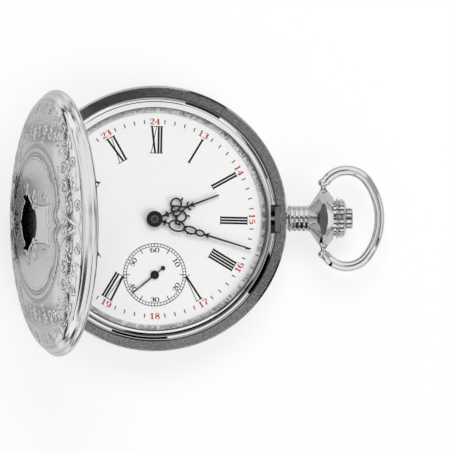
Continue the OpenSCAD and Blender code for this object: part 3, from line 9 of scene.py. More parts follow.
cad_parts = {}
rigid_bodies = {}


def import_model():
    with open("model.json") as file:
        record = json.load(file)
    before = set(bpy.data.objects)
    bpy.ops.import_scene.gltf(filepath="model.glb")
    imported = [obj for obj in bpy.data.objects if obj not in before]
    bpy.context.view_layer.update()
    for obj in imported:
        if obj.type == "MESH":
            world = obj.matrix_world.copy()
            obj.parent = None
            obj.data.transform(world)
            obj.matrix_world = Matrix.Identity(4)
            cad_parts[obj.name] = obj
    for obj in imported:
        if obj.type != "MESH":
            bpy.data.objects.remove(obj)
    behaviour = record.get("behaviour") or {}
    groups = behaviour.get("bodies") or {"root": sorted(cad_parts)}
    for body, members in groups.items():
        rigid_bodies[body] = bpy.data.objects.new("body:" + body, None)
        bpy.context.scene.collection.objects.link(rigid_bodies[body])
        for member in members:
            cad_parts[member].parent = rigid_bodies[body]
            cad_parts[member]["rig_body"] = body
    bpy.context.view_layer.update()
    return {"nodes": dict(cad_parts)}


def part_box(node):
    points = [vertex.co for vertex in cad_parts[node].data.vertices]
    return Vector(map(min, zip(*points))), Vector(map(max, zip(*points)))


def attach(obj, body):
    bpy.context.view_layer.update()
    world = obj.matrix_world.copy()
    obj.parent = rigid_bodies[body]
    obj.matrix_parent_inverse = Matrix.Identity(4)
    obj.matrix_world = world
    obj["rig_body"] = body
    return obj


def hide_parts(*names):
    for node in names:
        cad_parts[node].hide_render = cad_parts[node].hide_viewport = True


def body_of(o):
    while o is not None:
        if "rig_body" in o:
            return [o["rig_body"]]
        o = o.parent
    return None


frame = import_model()
mm = 0.001
stemZ = 7.25       # height of the stem's axis, mm
secondsY = -10.14  # centre of the seconds dial, mm towards twelve
print("watch loaded:", len(frame["nodes"]), "nodes")


# Shader values and materials

class Tap:  # one socket's value, so that shader sums read as sums
    def __init__(self, finish, socket):
        self.finish = finish
        self.socket = socket

    def calc(self, operation, other=None, flip=False):
        pair = (other, self) if flip else (self, other)
        values = {i: v for i, v in enumerate(pair) if v is not None}
        return self.finish.add("Math", {"operation": operation}, values)

    def __add__(self, other):
        return self.calc("ADD", other)

    def __sub__(self, other):
        return self.calc("SUBTRACT", other)

    def __rsub__(self, other):
        return self.calc("SUBTRACT", other, True)

    def __mul__(self, other):
        return self.calc("MULTIPLY", other)

    def __truediv__(self, other):
        return self.calc("DIVIDE", other)

    def __pow__(self, other):
        return self.calc("POWER", other)

    __radd__, __rmul__ = __add__, __mul__

    def size(self):
        return self.calc("ABSOLUTE")

    def wave(self):
        return self.calc("SINE")


class Finish:  # one material, or the world, with its nodes
    def __init__(self, name, world=False):
        self.material = (bpy.data.worlds if world else bpy.data.materials).new(name)
        self.material.use_nodes = True
        self.nodes = self.material.node_tree.nodes
        self.links = self.material.node_tree.links
        self.nodes.clear()
        self.output = self.nodes.new("ShaderNodeOutputWorld" if world else "ShaderNodeOutputMaterial")

    def add(self, kind, settings=None, values=None, out=0):
        node = self.nodes.new("ShaderNode" + kind)
        for key, value in (settings or {}).items():
            setattr(node, key, value)
        for key, value in (values or {}).items():
            self.feed(node.inputs[key], value)
        return Tap(self, node.outputs[out])

    def feed(self, socket, value):
        if isinstance(value, Tap):
            self.links.new(value.socket, socket)
        elif isinstance(value, (tuple, list)) and len(value) == 3 and socket.type == "RGBA":
            socket.default_value = (*value, 1)
        else:
            socket.default_value = value

    def vector(self, operation, values):
        return self.add("VectorMath", {"operation": operation}, values)

    def place(self, centre=(0, 0, 0), turn=(0, 0, 0), stretch=(1, 1, 1)):  # object coordinates about a centre, in mm
        spot = self.add("TexCoord", out="Object")
        moved = self.vector("SUBTRACT", {0: spot, 1: [c * mm for c in centre]})
        return self.add("Mapping", {"vector_type": "POINT"},
                        {"Vector": moved, "Rotation": turn, "Scale": [s / mm for s in stretch]})

    def split(self, vector):
        node = self.nodes.new("ShaderNodeSeparateXYZ")
        self.feed(node.inputs[0], vector)
        return [Tap(self, o) for o in node.outputs]

    def where(self, centre=(0, 0, 0), turn=(0, 0, 0)):  # the place, and its three parts
        spot = self.place(centre, turn)
        return spot, *self.split(spot)

    def join(self, x, y, z=0.0):
        return self.add("CombineXYZ", None, {0: x, 1: y, 2: z})

    def noise(self, spot, scale, detail=3.0, rough=0.5):
        return self.add("TexNoise", None,
                        {"Vector": spot, "Scale": scale, "Detail": detail, "Roughness": rough})

    def ease(self, value, low, high, start=0.0, end=1.0):  # smooth step between two levels
        return self.add("MapRange", {"interpolation_type": "SMOOTHSTEP"},
                        {0: value, 1: low, 2: high, 3: start, 4: end})

    def tint(self, share, first, second):
        return self.add("Mix", {"data_type": "RGBA"}, {0: share, 6: first, 7: second}, out=2)

    def bump(self, height, strength=1.0, depth=0.00002, under=None):
        values = {"Height": height, "Strength": strength, "Distance": depth}
        if under is not None:
            values["Normal"] = under
        return self.add("Bump", None, values)

    def show(self, shader):
        self.links.new(shader.socket, self.output.inputs[0])
        return self.material

    def coat(self, values):
        return self.show(self.add("BsdfPrincipled", None, values))

    def metal(self, colour, rough, normal, share=1.0):
        return self.coat({"Base Color": colour, "Metallic": share, "Roughness": rough, "Normal": normal})


def grey(tone, blue=None):
    return (tone, tone, tone if blue is None else blue)


def dim(tone, share):
    return tuple(t * share for t in tone)


def across(x, y):
    return (x * x + y * y) ** 0.5


# Finishes of the case

silverTone = grey(0.80, 0.81)
caseMarks = {  # from and to, mm
    "rimRise": (1.90, 1.96), "rimReach": (22.25, 22.35),  # matt rim, over the stem's axis and round the case
    "gapShadowReach": (22.32, 22.24), "gapShadowHeight": (9.0, 9.1),  # painted shadow in the gap beside the bezel
    "windowIn": (20.8, 20.9), "windowOut": (22.3, 22.2), "windowSide": (2.65, 2.55),
    "lean": 0.11,  # how far the rim's normals lean outwards
}
bezelMarks = {"seat": (20.16, 20.10), "line": 20.20, "shadeLineHalf": (0.13, 0.07)}  # reach from the axis, mm


def bowSilver():
    f = Finish("bow silver")
    spot = f.place()
    cloud = f.noise(spot, 0.32, 4)
    fine = f.noise(spot, 4.4, 3)
    hair = f.noise(f.place(stretch=(6, 0.5, 2), turn=(0.3, 0.1, 0.7)), 2.6, 4, 0.7)
    worn = f.ease(hair, 0.60, 0.72)
    colour = f.tint(cloud, silverTone, dim(silverTone, 0.90))
    return f.metal(f.tint(worn * 0.25, colour, dim(silverTone, 0.75)),
                   0.04 + cloud * 0.06 + worn * 0.08 + fine * 0.03, f.bump(hair * 0.5 + fine * 0.2, 0.35, 0.000006))


def caseMiddleSilver():  # matt grained rim on the flanges, polished outer wall, fine lines round the inside
    c = caseMarks
    f = Finish("case middle silver")
    spot, x, y, z = f.where()
    reach = across(x, y)
    flat = f.ease((z - stemZ).size(), *c["rimRise"]) * f.ease(reach, *c["rimReach"])
    away = f.vector("SCALE", {0: f.join(x / reach, y / reach), "Scale": flat * c["lean"]})
    leaning = f.vector("ADD", {0: f.add("NewGeometry", out="Normal"), 1: away})
    coned = f.vector("NORMALIZE", {0: leaning})
    grain = f.ease(f.noise(f.place(stretch=(1, 1, 0.2)), 4.5, 4, 0.7), 0.34, 0.66)
    # painted shadow: near-black case colour in the gap between the rim and the bezel
    gapShadow = f.ease(reach, *c["gapShadowReach"]) * f.ease(z, *c["gapShadowHeight"])
    window = f.ease(x, *c["windowIn"]) * f.ease(x, *c["windowOut"]) * f.ease(y.size(), *c["windowSide"])
    cloud = f.noise(spot, 0.2, 3)
    ring = f.noise(f.join(reach * 14, z * 2), 1.0, 2)
    bright = f.tint(cloud, silverTone, grey(0.72, 0.73))
    matt = f.tint(grain, grey(0.13, 0.133), grey(0.38, 0.385))
    # painted shade: the case turns dark grey inside the window recess beside the stem
    windowShaded = f.tint(window * 0.9, f.tint(flat, bright, matt), grey(0.22, 0.225))
    return f.metal(f.tint(gapShadow * 0.9, windowShaded, grey(0.02, 0.022)),
                   0.13 + cloud * 0.08 + flat * 0.03 + window * 0.3,
                   f.bump(grain * flat * 1.2 + ring * 0.25, 0.4, 0.00001, coned))


def bezelSilver():  # mirror polish, with the glass's matt seat and a painted shadow line beside it
    f = Finish("bezel silver")
    spot, x, y, z = f.where()
    reach = across(x, y)
    seat = f.ease(reach, *bezelMarks["seat"])
    # painted shadow: a dark ring on the bezel along the glass's edge
    line = f.ease((reach - bezelMarks["line"]).size(), *bezelMarks["shadeLineHalf"])
    cloud = f.noise(spot, 0.16, 4)
    hair = f.noise(f.place(stretch=(6, 0.5, 2), turn=(0.3, 0.1, 0.7)), 1.3, 4, 0.7)
    polish = f.tint(cloud, grey(0.86, 0.87), grey(0.78, 0.79))
    seated = f.tint(seat, polish, grey(0.80))
    return f.metal(f.tint(line * 0.8, seated, grey(0.05, 0.052)), 0.03 + cloud * 0.05 + seat * 0.45,
                   f.bump(hair * 0.2, 0.35, 0.000006), 1.0 - seat * 0.85)


def turnedSilver(name, pitch, haze):  # fine rings from the lathe
    f = Finish(name)
    spot, x, y, z = f.where()
    rings = f.noise(f.join(across(x, y) * pitch, z * 3.0), 1.0, 3, 0.6)
    cloud = f.noise(spot, 0.25, 4)
    return f.metal(f.tint(cloud * 0.5 + rings * 0.5, silverTone, dim(silverTone, 0.86)),
                   haze + rings * 0.10 + cloud * 0.05, f.bump(rings, 0.35, 0.00001))


def stemSilver(name, flutes=0):  # polished parts on the stem's line, with painted shade in their flutes
    f = Finish(name)
    spot, x, y, z = f.where((0, 0, stemZ))
    reach = across(y, z)
    cloud = f.noise(spot, 0.6, 4)
    hair = f.noise(f.place(stretch=(1, 5, 5)), 1.6, 3, 0.6)
    colour = f.tint(cloud * 0.6 + hair * 0.4, silverTone, dim(silverTone, 0.82))
    if flutes:
        angle = z.calc("ARCTAN2", y)
        facing = f.split(f.add("NewGeometry", out="Normal"))[0].size()
        # painted shade: near-black stripes along the flutes, on faces that look away from the stem's axis
        fluteShade = f.ease((angle * flutes + math.pi / 2).wave(), 0.1, 0.7) * f.ease(facing, 0.75, 0.45)
        colour = f.tint(fluteShade * 0.93 * f.ease(reach, 1.2, 1.3), colour, grey(0.03, 0.032))
    return f.metal(colour, 0.07 + cloud * 0.05, f.bump(hair, 0.25, 0.000008))


def engravedSilver():  # relief and cuts come with the mesh, hatching and stippling are added here
    f = Finish("engraved silver")
    p, q = (part * chartSize for part in f.split(f.add("UVMap", {"uv_map": "chart"}))[:2])
    cut, field, ground, plain = (f.add("Attribute", {"attribute_name": mark}, out=2)
                                 for mark in ("cut", "field", "ground", "plain"))
    pitch = 2 * math.pi / coverRelief["hatchGap"]
    rising, falling = (f.ease((way * 0.7071 * pitch).wave(), 0.1, 0.9) * 0.5 for way in (p + q, p - q))
    hatch = rising + falling
    dots = f.add("TexVoronoi", None, {"Vector": f.join(p, q), "Scale": 5.0})
    stipple = f.ease(dots, 0.15, 0.45)
    cloud = f.noise(f.place(), 0.16, 4)
    hair = f.noise(f.place(stretch=(5, 0.6, 2), turn=(0.2, 0.4, 0.5)), 1.4, 3, 0.65)
    dull = field * (1 - plain)
    bright = f.tint(cloud, grey(0.84, 0.85), grey(0.76, 0.77))
    lined = f.tint(dull * hatch * 0.4, bright, grey(0.20, 0.21))
    dotted = f.tint(ground * (0.35 + stipple * 0.45) * (1 - field), lined, grey(0.16, 0.165))
    # the cut mark paints shadow into the engraved lines and the leaves' feet
    return f.metal(f.tint(cut * 0.86, dotted, grey(0.05, 0.052)),
                   0.05 + cloud * 0.04 + dull * 0.18 + ground * 0.08 + cut * 0.12,
                   f.bump(hair * 0.12 - dull * hatch * 0.9 - ground * stipple * 0.8, 0.5, 0.00003))


# Finishes of the dial, hands and glass

secondsStep = 5.95  # radius of the step round the seconds dial, mm


def enamelFinish():
    f = Finish("white enamel")
    spot, x, y, z = f.where()
    cloud = f.noise(spot, 0.12, 3)
    ripple = f.noise(spot, 0.8, 3)
    speck = f.add("TexVoronoi", None, {"Vector": spot, "Scale": 0.9})
    dust = f.ease(speck, 0.035, 0.015)
    step = f.ease((across(x, y - secondsY) - secondsStep).size(), 0.10, 0.0)
    colour = f.tint(cloud, grey(0.925, 0.920), grey(0.905, 0.900))
    return f.coat({"Base Color": f.tint(dust * 0.6, colour, (0.35, 0.34, 0.33)), "Roughness": 0.16 + cloud * 0.06,
                   "Coat Weight": 0.35 + cloud * 0.1, "Coat Roughness": 0.06, "IOR": 1.5,
                   "Normal": f.bump(ripple * 0.4 - step * 1.2, 0.25, 0.00002)})


def inkFinish(name, tone, worn):
    f = Finish(name)
    patch = f.noise(f.place(), 5.0, 4, 0.6)
    return f.coat({"Base Color": f.tint(f.ease(patch, 0.45, 0.75), tone, worn), "Specular IOR Level": 0.12,
                   "Roughness": 0.30 + patch * 0.2, "Normal": f.bump(patch, 0.2, 0.000005)})


def glassFinish():
    f = Finish("crystal glass")
    spot, x, y, z = f.where()
    smear = f.noise(spot, 0.15, 3)
    clear = f.add("BsdfTransparent", None, {"Color": grey(0.99)})
    gloss = f.add("BsdfPrincipled", None,
                  {"Base Color": grey(0.72), "Roughness": 0.02 + smear * 0.03, "IOR": 1.5})
    edge = f.add("LayerWeight", None, {"Blend": 0.18}, out="Facing")
    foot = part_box("crystal")[0].z / mm  # it lies on the bezel's seat and shows it
    share = (f.ease(edge, 0.02, 0.9, 0.004, 0.34) + smear * 0.003) * f.ease(z, foot + 0.01, foot + 0.04)
    return f.show(f.add("MixShader", None, {0: share, 1: clear, 2: gloss}))


def blackedSteel():
    f = Finish("blacked hand steel")
    cloud = f.noise(f.place(), 1.2, 4)
    return f.coat({"Base Color": f.tint(cloud, grey(0.003, 0.004), grey(0.014, 0.017)),
                   "Roughness": 0.24 + cloud * 0.16, "Coat Weight": 0.05 + cloud * 0.1, "Specular IOR Level": 0.15,
                   "Normal": f.bump(cloud, 0.15, 0.000006)})


# Finishes of the movement

arborTip = (8.9, 9.1)  # from here up an arbor stands over the dial and is blacked steel, mm


def steelFinish(name, tone=(0.50, 0.51, 0.53), haze=0.22, grain=(7, 0.6, 1)):
    f = Finish(name)
    line = f.noise(f.place(stretch=grain), 1.2, 4, 0.65)
    cloud = f.noise(f.place(), 0.7, 3)
    return f.metal(f.tint(line * 0.6 + cloud * 0.4, tone, dim(tone, 0.72)), haze + line * 0.12,
                   f.bump(line, 0.3, 0.00001))


def bluedSteel(name="blued steel", tone=(0.035, 0.075, 0.30)):
    f = Finish(name)
    heat = f.noise(f.place(), 0.9, 3)
    line = f.noise(f.place(stretch=(6, 1, 1)), 1.5, 3)
    return f.metal(f.tint(heat, tone, (0.10, 0.10, 0.36)), 0.18 + line * 0.12, f.bump(line, 0.2, 0.000006))


def giltWheel(name, centre=(0, 0, 0)):  # circular grain about the wheel's own axis
    f = Finish(name)
    spot, x, y, z = f.where(centre)
    rings = f.noise(f.join(across(x, y) * 8.0, z * 2.0), 1.0, 3, 0.6)
    cloud = f.noise(spot, 0.8, 3)
    gilt = f.tint(rings * 0.5 + cloud * 0.5, (0.83, 0.62, 0.28), (0.66, 0.45, 0.18))
    return f.metal(f.tint(f.ease(z, *arborTip), gilt, grey(0.06, 0.063)), 0.20 + rings * 0.14,
                   f.bump(rings, 0.35, 0.00001))


def pearledPlate():  # overlapping round grained spots
    f = Finish("pearled gilt plate")
    spot, x, y, z = f.where()
    near = f.add("TexVoronoi", None, {"Vector": f.join(x, y), "Scale": 0.9, "Randomness": 0.0})
    swirl = (near * 46.0).wave()
    cloud = f.noise(spot, 0.5, 3)
    return f.metal(f.tint(cloud * 0.5 + near * 0.6, (0.80, 0.60, 0.30), (0.62, 0.44, 0.20)), 0.22 + near * 0.18,
                   f.bump(swirl + near * 2.0, 0.3, 0.00001))


def stripedBridge():  # broad polished stripes with fine lines in them
    f = Finish("striped nickel bridge")
    spot, x, y, z = f.where(turn=(0, 0, 0.45))
    band = (x * (math.pi / 1.7)).wave().size()
    fine = f.noise(f.join(x * 9.0, y * 0.25), 1.0, 3, 0.6)
    cloud = f.noise(spot, 0.4, 3)
    return f.metal(f.tint(band * 0.45 + cloud * 0.3, (0.74, 0.73, 0.70), (0.55, 0.54, 0.52)),
                   0.18 + band * 0.10 + fine * 0.10, f.bump(band * 2.0 + fine * 0.5, 0.35, 0.00002))


def sunburstSteel(name, centre):  # rays from the centre, on the ratchet, crown and escape wheels
    f = Finish(name)
    spot, x, y, z = f.where(centre)
    rays = f.noise(f.join(y.calc("ARCTAN2", x) * 14.0, across(x, y) * 0.4), 1.0, 3, 0.6)
    return f.metal(f.tint(rays, grey(0.66, 0.68), grey(0.46, 0.48)), 0.16 + rays * 0.14,
                   f.bump(rays, 0.4, 0.00001))


def rubyFinish():
    f = Finish("ruby")
    cloud = f.noise(f.place(), 1.5, 3)
    return f.coat({"Base Color": f.tint(cloud, (0.50, 0.015, 0.06), (0.72, 0.05, 0.12)),
                   "Roughness": 0.06 + cloud * 0.05, "IOR": 1.76, "Transmission Weight": 0.25,
                   "Coat Weight": 0.4 + cloud * 0.1})


def rubberFinish():
    f = Finish("gasket rubber")
    grain = f.noise(f.place(), 6.0, 4)
    return f.coat({"Base Color": f.tint(grain, grey(0.03, 0.032), grey(0.07, 0.072)),
                   "Roughness": 0.6 + grain * 0.2, "Normal": f.bump(grain, 0.3, 0.00002)})


# Which node gets which finish

barrelSpot = (3.80, 8.16, 0)

finishOf = {name: finish for finish, names in (
    (caseMiddleSilver(), "mid_case"),
    (turnedSilver("cover silver", 5.0, 0.12), "front_cover back_cover"),
    (turnedSilver("cuvette silver", 7.0, 0.14), "cuvette"),
    (bezelSilver(), "bezel"),
    (glassFinish(), "crystal"),
    (enamelFinish(), "dial"),
    (blackedSteel(), "hour_hand minute_hand seconds_hand"),
    (stemSilver("pendant silver"), "pendant"),
    (stemSilver("crown silver", 24), "crown"),
    (stemSilver("crown cap silver", 12), "crown_cap"),
    (bowSilver(), "bow"),
    (rubberFinish(), "crown_gasket"),
    (steelFinish("hinge pin steel", grey(0.55, 0.56), 0.2, (1, 6, 1)), "front_hinge_pin back_hinge_pin"),
    (steelFinish("spring steel", (0.42, 0.43, 0.45), 0.26, (1, 1, 6)), "lift_spring setting_lever yoke click_spring"),
    (steelFinish("lock spring steel", grey(0.26, 0.27), 0.30), "lock_spring"),
    (steelFinish("cannon pinion steel", grey(0.20, 0.205), 0.25), "cannon_pinion"),
    (steelFinish("stem steel", grain=(1, 6, 6)), "winding_stem"),
    (steelFinish("polished steel", (0.60, 0.61, 0.63), 0.14), "push_sleeve barrel_arbor pallet_fork balance_staff "
     "setting_wheel winding_pinion sliding_pinion regulator click"),
    (bluedSteel(), "case_spring_screws case_screws bridge_screws ratchet_screw crown_wheel_screw click_screw"),
    (bluedSteel("mainspring steel", (0.10, 0.12, 0.20)), "mainspring"),
    (bluedSteel("hairspring steel"), "hairspring"),
    (rubyFinish(), "pallet_stones jewels"),
    (pearledPlate(), "main_plate"),
    (stripedBridge(), "barrel_bridge train_bridge pallet_bridge balance_cock"),
    (giltWheel("gilt centre wheel"), "centre_wheel hour_wheel"),
    (giltWheel("gilt barrel", barrelSpot), "barrel"),
    (giltWheel("gilt barrel cover", barrelSpot), "barrel_cover"),
    (giltWheel("gilt third wheel", (3.434, -5.811, 0)), "third_wheel"),
    (giltWheel("gilt fourth wheel", (0, secondsY, 0)), "fourth_wheel"),
    (giltWheel("gilt balance", (-10.9, -6.6, 0)), "balance"),
    (giltWheel("gilt minute wheel", (2.719, -1.268, 0)), "minute_wheel"),
    (sunburstSteel("escape wheel steel", (-4.551, -11.787, 0)), "escape_wheel"),
    (sunburstSteel("ratchet wheel steel", barrelSpot), "ratchet_wheel"),
    (sunburstSteel("crown wheel steel", (11.55, 0, 0)), "crown_wheel"),
) for name in names.split()}

for nodeName, node in frame["nodes"].items():
    node.data.materials.clear()
    node.data.materials.append(finishOf[nodeName])
print("finishes on", len(finishOf), "nodes; without one:", sorted(set(frame["nodes"]) - set(finishOf)))


# Helpers for pieces

def addedPiece(name):  # the object that the last operator made, named and with its place in its mesh
    piece = bpy.context.active_object
    piece.name = piece.data.name = name
    bpy.ops.object.transform_apply(location=True, rotation=True, scale=True)
    return piece


def clearPick():
    if bpy.context.object and bpy.context.object.mode != "OBJECT":
        bpy.ops.object.mode_set(mode="OBJECT")
    bpy.ops.object.select_all(action="DESELECT")


def pickOnly(piece):
    clearPick()
    piece.select_set(True)
    bpy.context.view_layer.objects.active = piece


@contextmanager
def editing(pick="SELECT", kind=None):  # edit mode on the active piece, with all, none or what was picked before
    bpy.ops.object.mode_set(mode="EDIT")
    if kind:
        bpy.ops.mesh.select_mode(type=kind)
    if pick:
        bpy.ops.mesh.select_all(action=pick)
    yield
    bpy.ops.object.mode_set(mode="OBJECT")


def fit(piece, body, finish, angle=None):
    piece.data.materials.clear()
    piece.data.materials.append(finish)
    pickOnly(piece)
    if angle is None:
        bpy.ops.object.shade_smooth()
    else:
        bpy.ops.object.shade_smooth_by_angle(angle=math.radians(angle))
    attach(piece, body)
    return piece


# Hands, with lacquer over the pierced steel

handGrowth = {"hour_hand": 0.045, "minute_hand": 0.045, "seconds_hand": 0.02}  # thickness of the lacquer, mm


def lacqueredHand(name):
    bare = frame["nodes"][name]
    pickOnly(bare)
    bpy.ops.object.duplicate()
    hand = bpy.context.active_object
    for note in list(hand.keys()):
        del hand[note]
    hand.parent = None
    hand = addedPiece(name.split("_")[0] + "HandLacquered")
    with editing():
        bpy.ops.mesh.remove_doubles(threshold=0.000001)
        bpy.ops.transform.shrink_fatten(value=handGrowth[name] * mm)
    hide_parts(name)
    return fit(hand, body_of(bare)[0], finishOf[name], angle=40)


for handName in handGrowth:
    lacqueredHand(handName)
print("hands lacquered")


# Engraved covers

coverRelief = {
    "cells": 306,          # grid cells across the cover
    "edge": 22.7,          # outer edge of the engraved face, mm from the middle
    "lift": 0.13,          # how far the engraved face stands over the plain dome
    "groundDepth": 0.045,  # depth of the ground between the scrolls
    "cutDepth": 0.05,      # depth of an engraved line
    "ridge": 0.10,         # height of a leaf at its widest
    "domeEdge": 23.6, "domeRise": 4.6, "domePower": 2.4, "bead": 0.6, "flat": 3.0,
    "frontParting": 9.3, "backParting": 5.2,
    "hingeX": -24.05, "hingeZ": 9.275, "openAngle": 72.6,
    "workEdge": 22.0,      # the ground between the scrolls ends here
    "fade": 0.25,          # width over which the ground and the face's edge run out
    "tuck": 0.03,          # how far that edge ends under the dome
    "leafSpread": 1.15, "cutSpread": 1.5, "footShadeAt": 1.25, "footShadeWide": 0.10,
    "petalsAt": 16.2, "petalsWide": 1.7, "petalsHigh": 10.5,  # the flower bands' stippled ground
    "hatchGap": 0.30,      # between two lines of the hatching
}
chartSize = 50.0  # mm across the whole chart, which the UV map holds as one unit


def bend(*control, steps=14):  # smooth line through the given points
    c = np.array([control[0], *control, control[-1]], float)
    out = []
    for i in range(1, len(c) - 2):
        for t in np.linspace(0, 1, steps, endpoint=False):
            a, b, d, e = c[i - 1], c[i], c[i + 1], c[i + 2]
            out.append(0.5 * (2 * b + (d - a) * t + (2 * a - 5 * b + 4 * d - e) * t * t
                              + (3 * b - a - 3 * d + e) * t ** 3))
    out.append(c[-2])
    return np.array(out)


def curl(cx, cy, outer, inner, start, turns, hand):  # spiral from its outer end inwards
    t = np.linspace(0, 1, max(12, int(26 * turns)))
    r = outer + (inner - outer) * t ** 0.85
    a = np.radians(start + hand * 360 * turns * t)
    return np.column_stack([cx + r * np.cos(a), cy + r * np.sin(a)])


def ringLine(r, start=0.0, end=360.0, at=(0, 0)):
    a = np.radians(np.linspace(start, end, int(abs(end - start) / 2) + 2))
    return np.column_stack([at[0] + r * np.cos(a), at[1] + r * np.sin(a)])


def polar(r, a):
    return np.array([r * math.cos(math.radians(a)), r * math.sin(math.radians(a))])


class Ornament:  # leaves and cut lines in the cover's flat chart, on both sides while mirror is true
    def __init__(self):
        self.leaves = []
        self.cuts = []
        self.mirror = True

    def keep(self, bag, line, width, taper):
        line = np.asarray(line, float)
        step = np.linalg.norm(np.diff(line, axis=0), axis=1)
        run = np.concatenate([[0], np.cumsum(step)])
        count = max(4, int(run[-1] / 0.07))
        at = np.linspace(0, run[-1], count)
        dense = np.column_stack([np.interp(at, run, line[:, 0]), np.interp(at, run, line[:, 1])])
        t = at / run[-1]
        if taper == "both":
            w = width * np.sin(math.pi * np.clip(t, 0.02, 0.98)) ** 0.7
        elif taper == "end":
            w = width * (1 - 0.75 * t)
        elif taper == "drop":
            w = width * (np.sin(math.pi * t ** 0.6) ** 0.8 + 0.02)
        else:
            w = np.full(count, width)
        for sign in ((1, -1) if self.mirror else (1,)):
            bag.append(np.column_stack([dense[:, 0] * sign, dense[:, 1], w]))

    def leaf(self, line, width, taper="both"):
        self.keep(self.leaves, line, width, taper)

    def cut(self, line, width, taper="flat"):
        self.keep(self.cuts, line, max(width, 0.09), taper)

    def lobe(self, base, tip, width, lean=0.25):  # one leaf lobe with a vein
        base, tip = np.array(base, float), np.array(tip, float)
        side = np.array([-(tip - base)[1], (tip - base)[0]]) * lean
        line = bend(base, (base + tip) / 2 + side, tip)
        self.leaf(line, width, "drop")
        self.cut(line[: int(len(line) * 0.8)], width * 0.16, "end")

    def spray(self, at, heading, reach, count, spread, width):  # lobes in a fan, like an acanthus
        at = np.array(at, float)
        for i in range(count):
            turn = (i / (count - 1) - 0.5) * spread
            length = reach * (1 - 0.35 * abs(turn) / (spread / 2))
            self.lobe(at + polar(reach * 0.12, heading + turn), at + polar(length, heading + turn), width,
                      0.22 if turn > 0 else -0.22)

    def flower(self, at, size):
        at = np.array(at, float)
        for i in range(5):
            a = 90 + i * 72
            self.leaf(bend(at + polar(size * 0.28, a), at + polar(size, a)), size * 0.36, "drop")
            self.cut(bend(at + polar(size * 0.3, a + 36), at + polar(size * 0.85, a + 36)), 0.07, "end")
        self.leaf(ringLine(size * 0.1, at=at), size * 0.2, "flat")
        self.cut(ringLine(size * 0.33, at=at), 0.06)

    def scroll(self, cx, cy, size, start, hand, turns=1.5):
        line = curl(cx, cy, size, size * 0.12, start, turns, hand)
        self.leaf(line, size * 0.20, "end")
        self.cut(curl(cx, cy, size * 1.24, size * 0.30, start, turns * 0.92, hand), 0.06)


shieldLine = bend((0, 9.0), (1.2, 8.3), (2.5, 8.5), (3.5, 8.9), (3.15, 7.4), (3.1, 4.5), (3.2, 1.8), (3.7, -0.4),
                  (4.7, -2.1), (6.0, -3.0), (6.9, -2.7), (6.9, -3.4), (6.1, -3.9), (5.2, -3.7), (5.0, -4.8),
                  (4.5, -6.2), (3.9, -5.1), (3.5, -5.3), (2.9, -6.2), (1.6, -6.9), (0.6, -7.4), (0, -8.1), steps=10)
fieldWide = 11.7
fieldLine = bend((0, 12.6), (1.6, 10.9), (3.6, 11.7), (6.6, 10.6), (9.6, 7.6), (11.5, 3.2), (fieldWide, -1.4),
                 (10.1, -6.3), (7.2, -9.9), (4.6, -11.6), (2.7, -12.3), steps=12)


